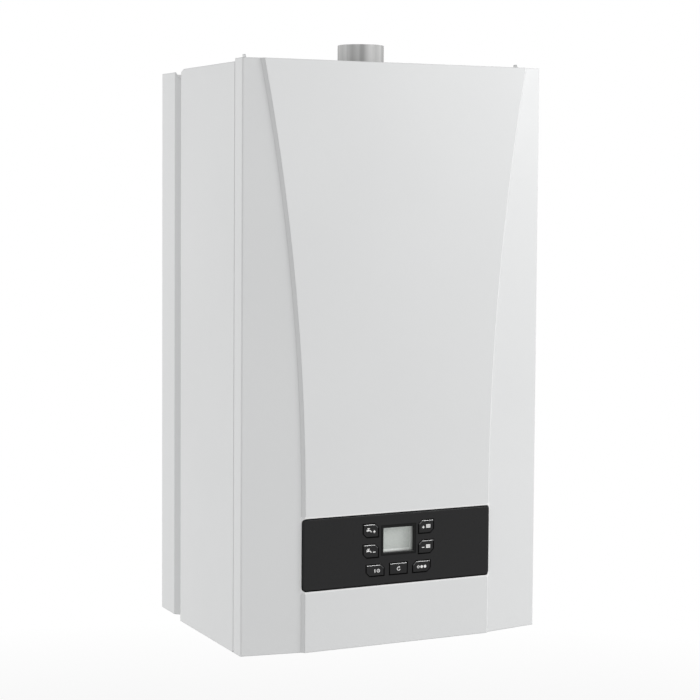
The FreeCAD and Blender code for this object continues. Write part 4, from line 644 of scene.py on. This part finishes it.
class BOILER_OT_panel(bpy.types.Operator):
    """Finish the control panel, its buttons and its display"""

    bl_idname = "boiler.panel"
    bl_label = "Panel finish"

    def execute(self, context):
        p = context.scene.boiler_panel
        fascia = fascia_plastic("fascia_black", p.fascia, p.fascia_roughness, p.bezel_and_reflection)
        paint(fascia, "control_fascia")
        keys = moulded("button_black", p.button, 0.19, 1100.0, 0.000008, 0.0002, 0.28, p.edge_highlight)
        paint(keys, *BUTTON_SYMBOLS)
        paint(clear_lens("display_lens"), "display_lens")
        paint(display_face("display_face", p.display, p.display_edge, p.painted_glow), "display_module")
        paint(circuit_board("circuit_board", p.board), "control_board")
        return {"FINISHED"}


class Print:
    """A flat symbol drawn in millimetres about a button's middle, then laid on the button's face."""

    def __init__(self, height, stroke):
        self.mesh = bmesh.new()
        self.height = height / MM
        self.stroke = stroke / MM

    def bar(self, x, y, width, tall, turn=0.0):
        place = Matrix.Translation((x, y, 0)) @ Matrix.Rotation(math.radians(turn), 4, "Z")
        size = Matrix.Diagonal((width, tall, self.height, 1))
        bmesh.ops.create_cube(self.mesh, size=1, matrix=place @ size)

    def disc(self, x, y, radius):
        bmesh.ops.create_cone(
            self.mesh, cap_ends=True, segments=28, radius1=radius, radius2=radius, depth=self.height,
            matrix=Matrix.Translation((x, y, 0)),
        )

    def head(self, x, y, radius, turn):
        """A three-cornered arrow head that points along the turn."""
        place = Matrix.Translation((x, y, 0)) @ Matrix.Rotation(math.radians(turn - 90), 4, "Z")
        bmesh.ops.create_cone(
            self.mesh, cap_ends=True, segments=3, radius1=radius, radius2=radius, depth=self.height,
            matrix=place,
        )

    def arc(self, x, y, radius, start=0.0, sweep=360.0):
        """A ring, or part of one, swept from a small square."""
        turn = Matrix.Translation((x, y, 0)) @ Matrix.Rotation(math.radians(start), 4, "Z")
        inner = radius - self.stroke / 2
        outer = radius + self.stroke / 2
        half = self.height / 2
        corners = [(inner, 0, -half), (outer, 0, -half), (outer, 0, half), (inner, 0, half)]
        verts = [self.mesh.verts.new(turn @ Vector(corner)) for corner in corners]
        edges = [self.mesh.edges.new((verts[i], verts[i - 1])) for i in range(4)]
        whole = sweep >= 360
        spun = bmesh.ops.spin(
            self.mesh, geom=verts + edges, cent=(x, y, 0), axis=(0, 0, 1), angle=math.radians(sweep),
            steps=32, use_merge=whole,
        )
        if not whole:
            last = [item for item in spun["geom_last"] if isinstance(item, bmesh.types.BMEdge)]
            bmesh.ops.holes_fill(self.mesh, edges=edges + last, sides=4)

    def lay(self, node, name, material, body):
        """Turn the drawing upright, put it on the button's front face and let it ride on the button."""
        low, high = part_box(node)
        middle = (low + high) / 2
        front = low.y + (0.35 * self.height) * MM
        upright = Matrix.Translation((middle.x, front - 0.5 * self.height * MM, middle.z))
        upright = upright @ Matrix.Rotation(math.pi / 2, 4, "X") @ Matrix.Scale(MM, 4)
        bmesh.ops.remove_doubles(self.mesh, verts=self.mesh.verts, dist=0.0005)
        bmesh.ops.recalc_face_normals(self.mesh, faces=self.mesh.faces)
        bmesh.ops.transform(self.mesh, matrix=upright, verts=self.mesh.verts)
        data = bpy.data.meshes.new(name)
        self.mesh.to_mesh(data)
        self.mesh.free()
        data.materials.append(material)
        piece = bpy.data.objects.new(name, data)
        bpy.context.scene.collection.objects.link(piece)
        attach(piece, body)


def draw_plus(p, x, y, size=3.4):
    p.bar(x, y, size, p.stroke * 1.25)
    p.bar(x, y + size / 4 + p.stroke * 0.3, p.stroke * 1.25, size / 2 - p.stroke * 0.6)
    p.bar(x, y - size / 4 - p.stroke * 0.3, p.stroke * 1.25, size / 2 - p.stroke * 0.6)


def draw_minus(p, x, y, size=3.4):
    p.bar(x, y, size, p.stroke * 1.25)


def draw_tap(p, x, y):
    """A water tap: cross handle, stem, body and a spout that turns down."""
    p.bar(x - 0.9, y + 2.3, 3.4, 0.9)
    p.bar(x - 0.9, y + 1.35, 0.9, 1.0)
    p.bar(x - 1.2, y - 0.05, 3.0, 1.8)
    p.bar(x - 3.0, y - 0.05, 0.6, 2.6)
    p.bar(x + 1.3, y - 0.35, 2.0, 1.2, -24.0)
    p.bar(x + 2.5, y - 1.45, 1.1, 1.4)


def draw_radiator(p, x, y):
    """A column radiator between two rails."""
    for i in range(4):
        p.bar(x + (i - 1.5) * 1.5, y, 1.0, 4.4)
    for side in (-1, 1):
        for i in range(3):
            p.bar(x + (i - 1) * 1.5, y + side * 1.45, 0.5, 0.6)


def hot_water_up(p):
    draw_tap(p, -2.6, 0.6)
    draw_plus(p, 4.2, -1.2)


def hot_water_down(p):
    draw_tap(p, -2.6, 0.6)
    draw_minus(p, 4.2, -1.2)


def heating_up(p):
    draw_plus(p, -4.2, -0.6)
    draw_radiator(p, 2.6, 0.4)


def heating_down(p):
    draw_minus(p, -4.2, -0.6)
    draw_radiator(p, 2.6, 0.4)


def on_off(p):
    """An upright stroke beside a broken ring with a stroke in its gap."""
    p.bar(-0.6, -0.4, 1.1, 4.0)
    p.arc(4.0, -0.4, 1.8, 125.0, 290.0)
    p.bar(4.0, 0.75, p.stroke, 2.2)


def reset(p):
    """A circular arrow that turns clockwise."""
    p.arc(0.0, -0.2, 2.0, 80.0, 270.0)
    p.head(0.9, 1.8, 1.35, -10.0)


def mode(p):
    """An open ring and two full discs."""
    p.arc(-4.6, -0.3, 1.35)
    p.disc(0.0, -0.3, 1.75)
    p.disc(4.6, -0.3, 1.75)


BUTTON_SYMBOLS = {
    "hot_water_up_button": ("hot_water_up", hot_water_up, -1),
    "hot_water_down_button": ("hot_water_down", hot_water_down, -1),
    "heating_up_button": ("heating_up", heating_up, 1),
    "heating_down_button": ("heating_down", heating_down, 1),
    "power_button": ("power", on_off, -1),
    "reset_button": ("reset", reset, 0),
    "mode_button": ("mode", mode, 1),
}


class BOILER_OT_symbols(bpy.types.Operator):
    """Print the symbols on the seven buttons"""

    bl_idname = "boiler.symbols"
    bl_label = "Button symbols"

    def execute(self, context):
        p = context.scene.boiler_panel
        white = ink("symbol_ink", p.ink)
        for node, (body, draw, _) in BUTTON_SYMBOLS.items():
            symbol = Print(p.print_height, p.stroke)
            draw(symbol)
            symbol.lay(node, body + "_symbol", white, body)
        return {"FINISHED"}


class BOILER_OT_stage(bpy.types.Operator):
    """Set up the camera, the pale floor, the white surroundings and the lamps"""

    bl_idname = "boiler.stage"
    bl_label = "Stage"

    def execute(self, context):
        p = context.scene.boiler_stage
        self.add_camera(context, p)
        self.add_floor(context, p)
        self.add_surroundings(context, p)
        for name, (place, target, size, setting) in LAMPS.items():
            self.add_lamp(context, name, Vector(place), Vector(target), size, getattr(p, setting))
        context.scene.view_settings.view_transform = "Standard"
        return {"FINISHED"}

    def add_camera(self, context, p):
        data = bpy.data.cameras.new("camera")
        data.sensor_width = 36.0
        data.lens = p.lens
        data.shift_y = p.shift
        camera = bpy.data.objects.new("camera", data)
        yaw = Matrix.Rotation(-p.camera_yaw, 4, "Z")
        pitch = Matrix.Rotation(math.pi / 2 + p.camera_pitch, 4, "X")
        roll = Matrix.Rotation(p.camera_roll, 4, "Z")
        camera.matrix_world = Matrix.Translation(p.camera_place) @ yaw @ pitch @ roll
        context.scene.collection.objects.link(camera)
        context.scene.camera = camera

    def add_floor(self, context, p):
        mesh = bmesh.new()
        below = CAD_BOX[0][2] - p.floor_drop
        place = Matrix.Translation((0, 0, below))
        bmesh.ops.create_circle(mesh, cap_ends=True, segments=64, radius=FLOOR_RADIUS, matrix=place)
        data = bpy.data.meshes.new("floor")
        mesh.to_mesh(data)
        mesh.free()
        data.materials.append(pale_floor("pale_floor"))
        floor = bpy.data.objects.new("floor", data)
        context.scene.collection.objects.link(floor)

    def add_surroundings(self, context, p):
        world = bpy.data.worlds.new("surroundings")
        nodes = NodeTree(world)
        fill = nodes.node("ShaderNodeBackground", {}, {"Color": (1, 1, 1), "Strength": p.fill})
        white = nodes.node("ShaderNodeBackground", {}, {"Color": (1, 1, 1), "Strength": 1.0})
        mixed = nodes.node("ShaderNodeMixShader", {}, {0: nodes.seen(), 1: fill, 2: white})
        nodes.node("ShaderNodeOutputWorld", {}, {"Surface": mixed})
        context.scene.world = world

    def add_lamp(self, context, name, place, target, size, watts):
        lamp = bpy.data.lights.new(name, "AREA")
        lamp.shape = "RECTANGLE"
        lamp.size, lamp.size_y = size
        lamp.energy = watts
        holder = bpy.data.objects.new(name, lamp)
        holder.location = place
        holder.rotation_euler = (target - place).to_track_quat("-Z", "Y").to_euler()
        context.scene.collection.objects.link(holder)


class BOILER_PT_panel(bpy.types.Panel):
    """Finishes and stage of the boiler"""

    bl_idname = "BOILER_PT_panel"
    bl_label = "Boiler"
    bl_space_type = "VIEW_3D"
    bl_region_type = "UI"
    bl_category = "Boiler"

    def draw(self, context):
        for step, settings in STEPS:
            box = self.layout.box()
            box.operator(step)
            group = getattr(context.scene, settings)
            for name in group.bl_rna.properties.keys():
                if name not in ("rna_type", "name"):
                    box.prop(group, name)


STEPS = [
    ("boiler.casing", "boiler_casing"),
    ("boiler.inside", "boiler_inside"),
    ("boiler.panel", "boiler_panel"),
    ("boiler.symbols", "boiler_panel"),
    ("boiler.stage", "boiler_stage"),
]
GROUPS = {
    "boiler_casing": CasingFinish,
    "boiler_panel": PanelFinish,
    "boiler_inside": InsideFinish,
    "boiler_stage": StageSettings,
}
CLASSES = [
    *GROUPS.values(),
    BOILER_OT_casing,
    BOILER_OT_inside,
    BOILER_OT_panel,
    BOILER_OT_symbols,
    BOILER_OT_stage,
    BOILER_PT_panel,
]


def register():
    for cls in CLASSES:
        bpy.utils.register_class(cls)
    for name, cls in GROUPS.items():
        setattr(bpy.types.Scene, name, bpy.props.PointerProperty(type=cls))


def unregister():
    for name in GROUPS:
        delattr(bpy.types.Scene, name)
    for cls in reversed(CLASSES):
        bpy.utils.unregister_class(cls)


def main():
    register()
    bpy.ops.boiler.casing()
    bpy.ops.boiler.inside()
    bpy.ops.boiler.panel()
    bpy.ops.boiler.symbols()
    bpy.ops.boiler.stage()


if __name__ == "__main__":
    main()
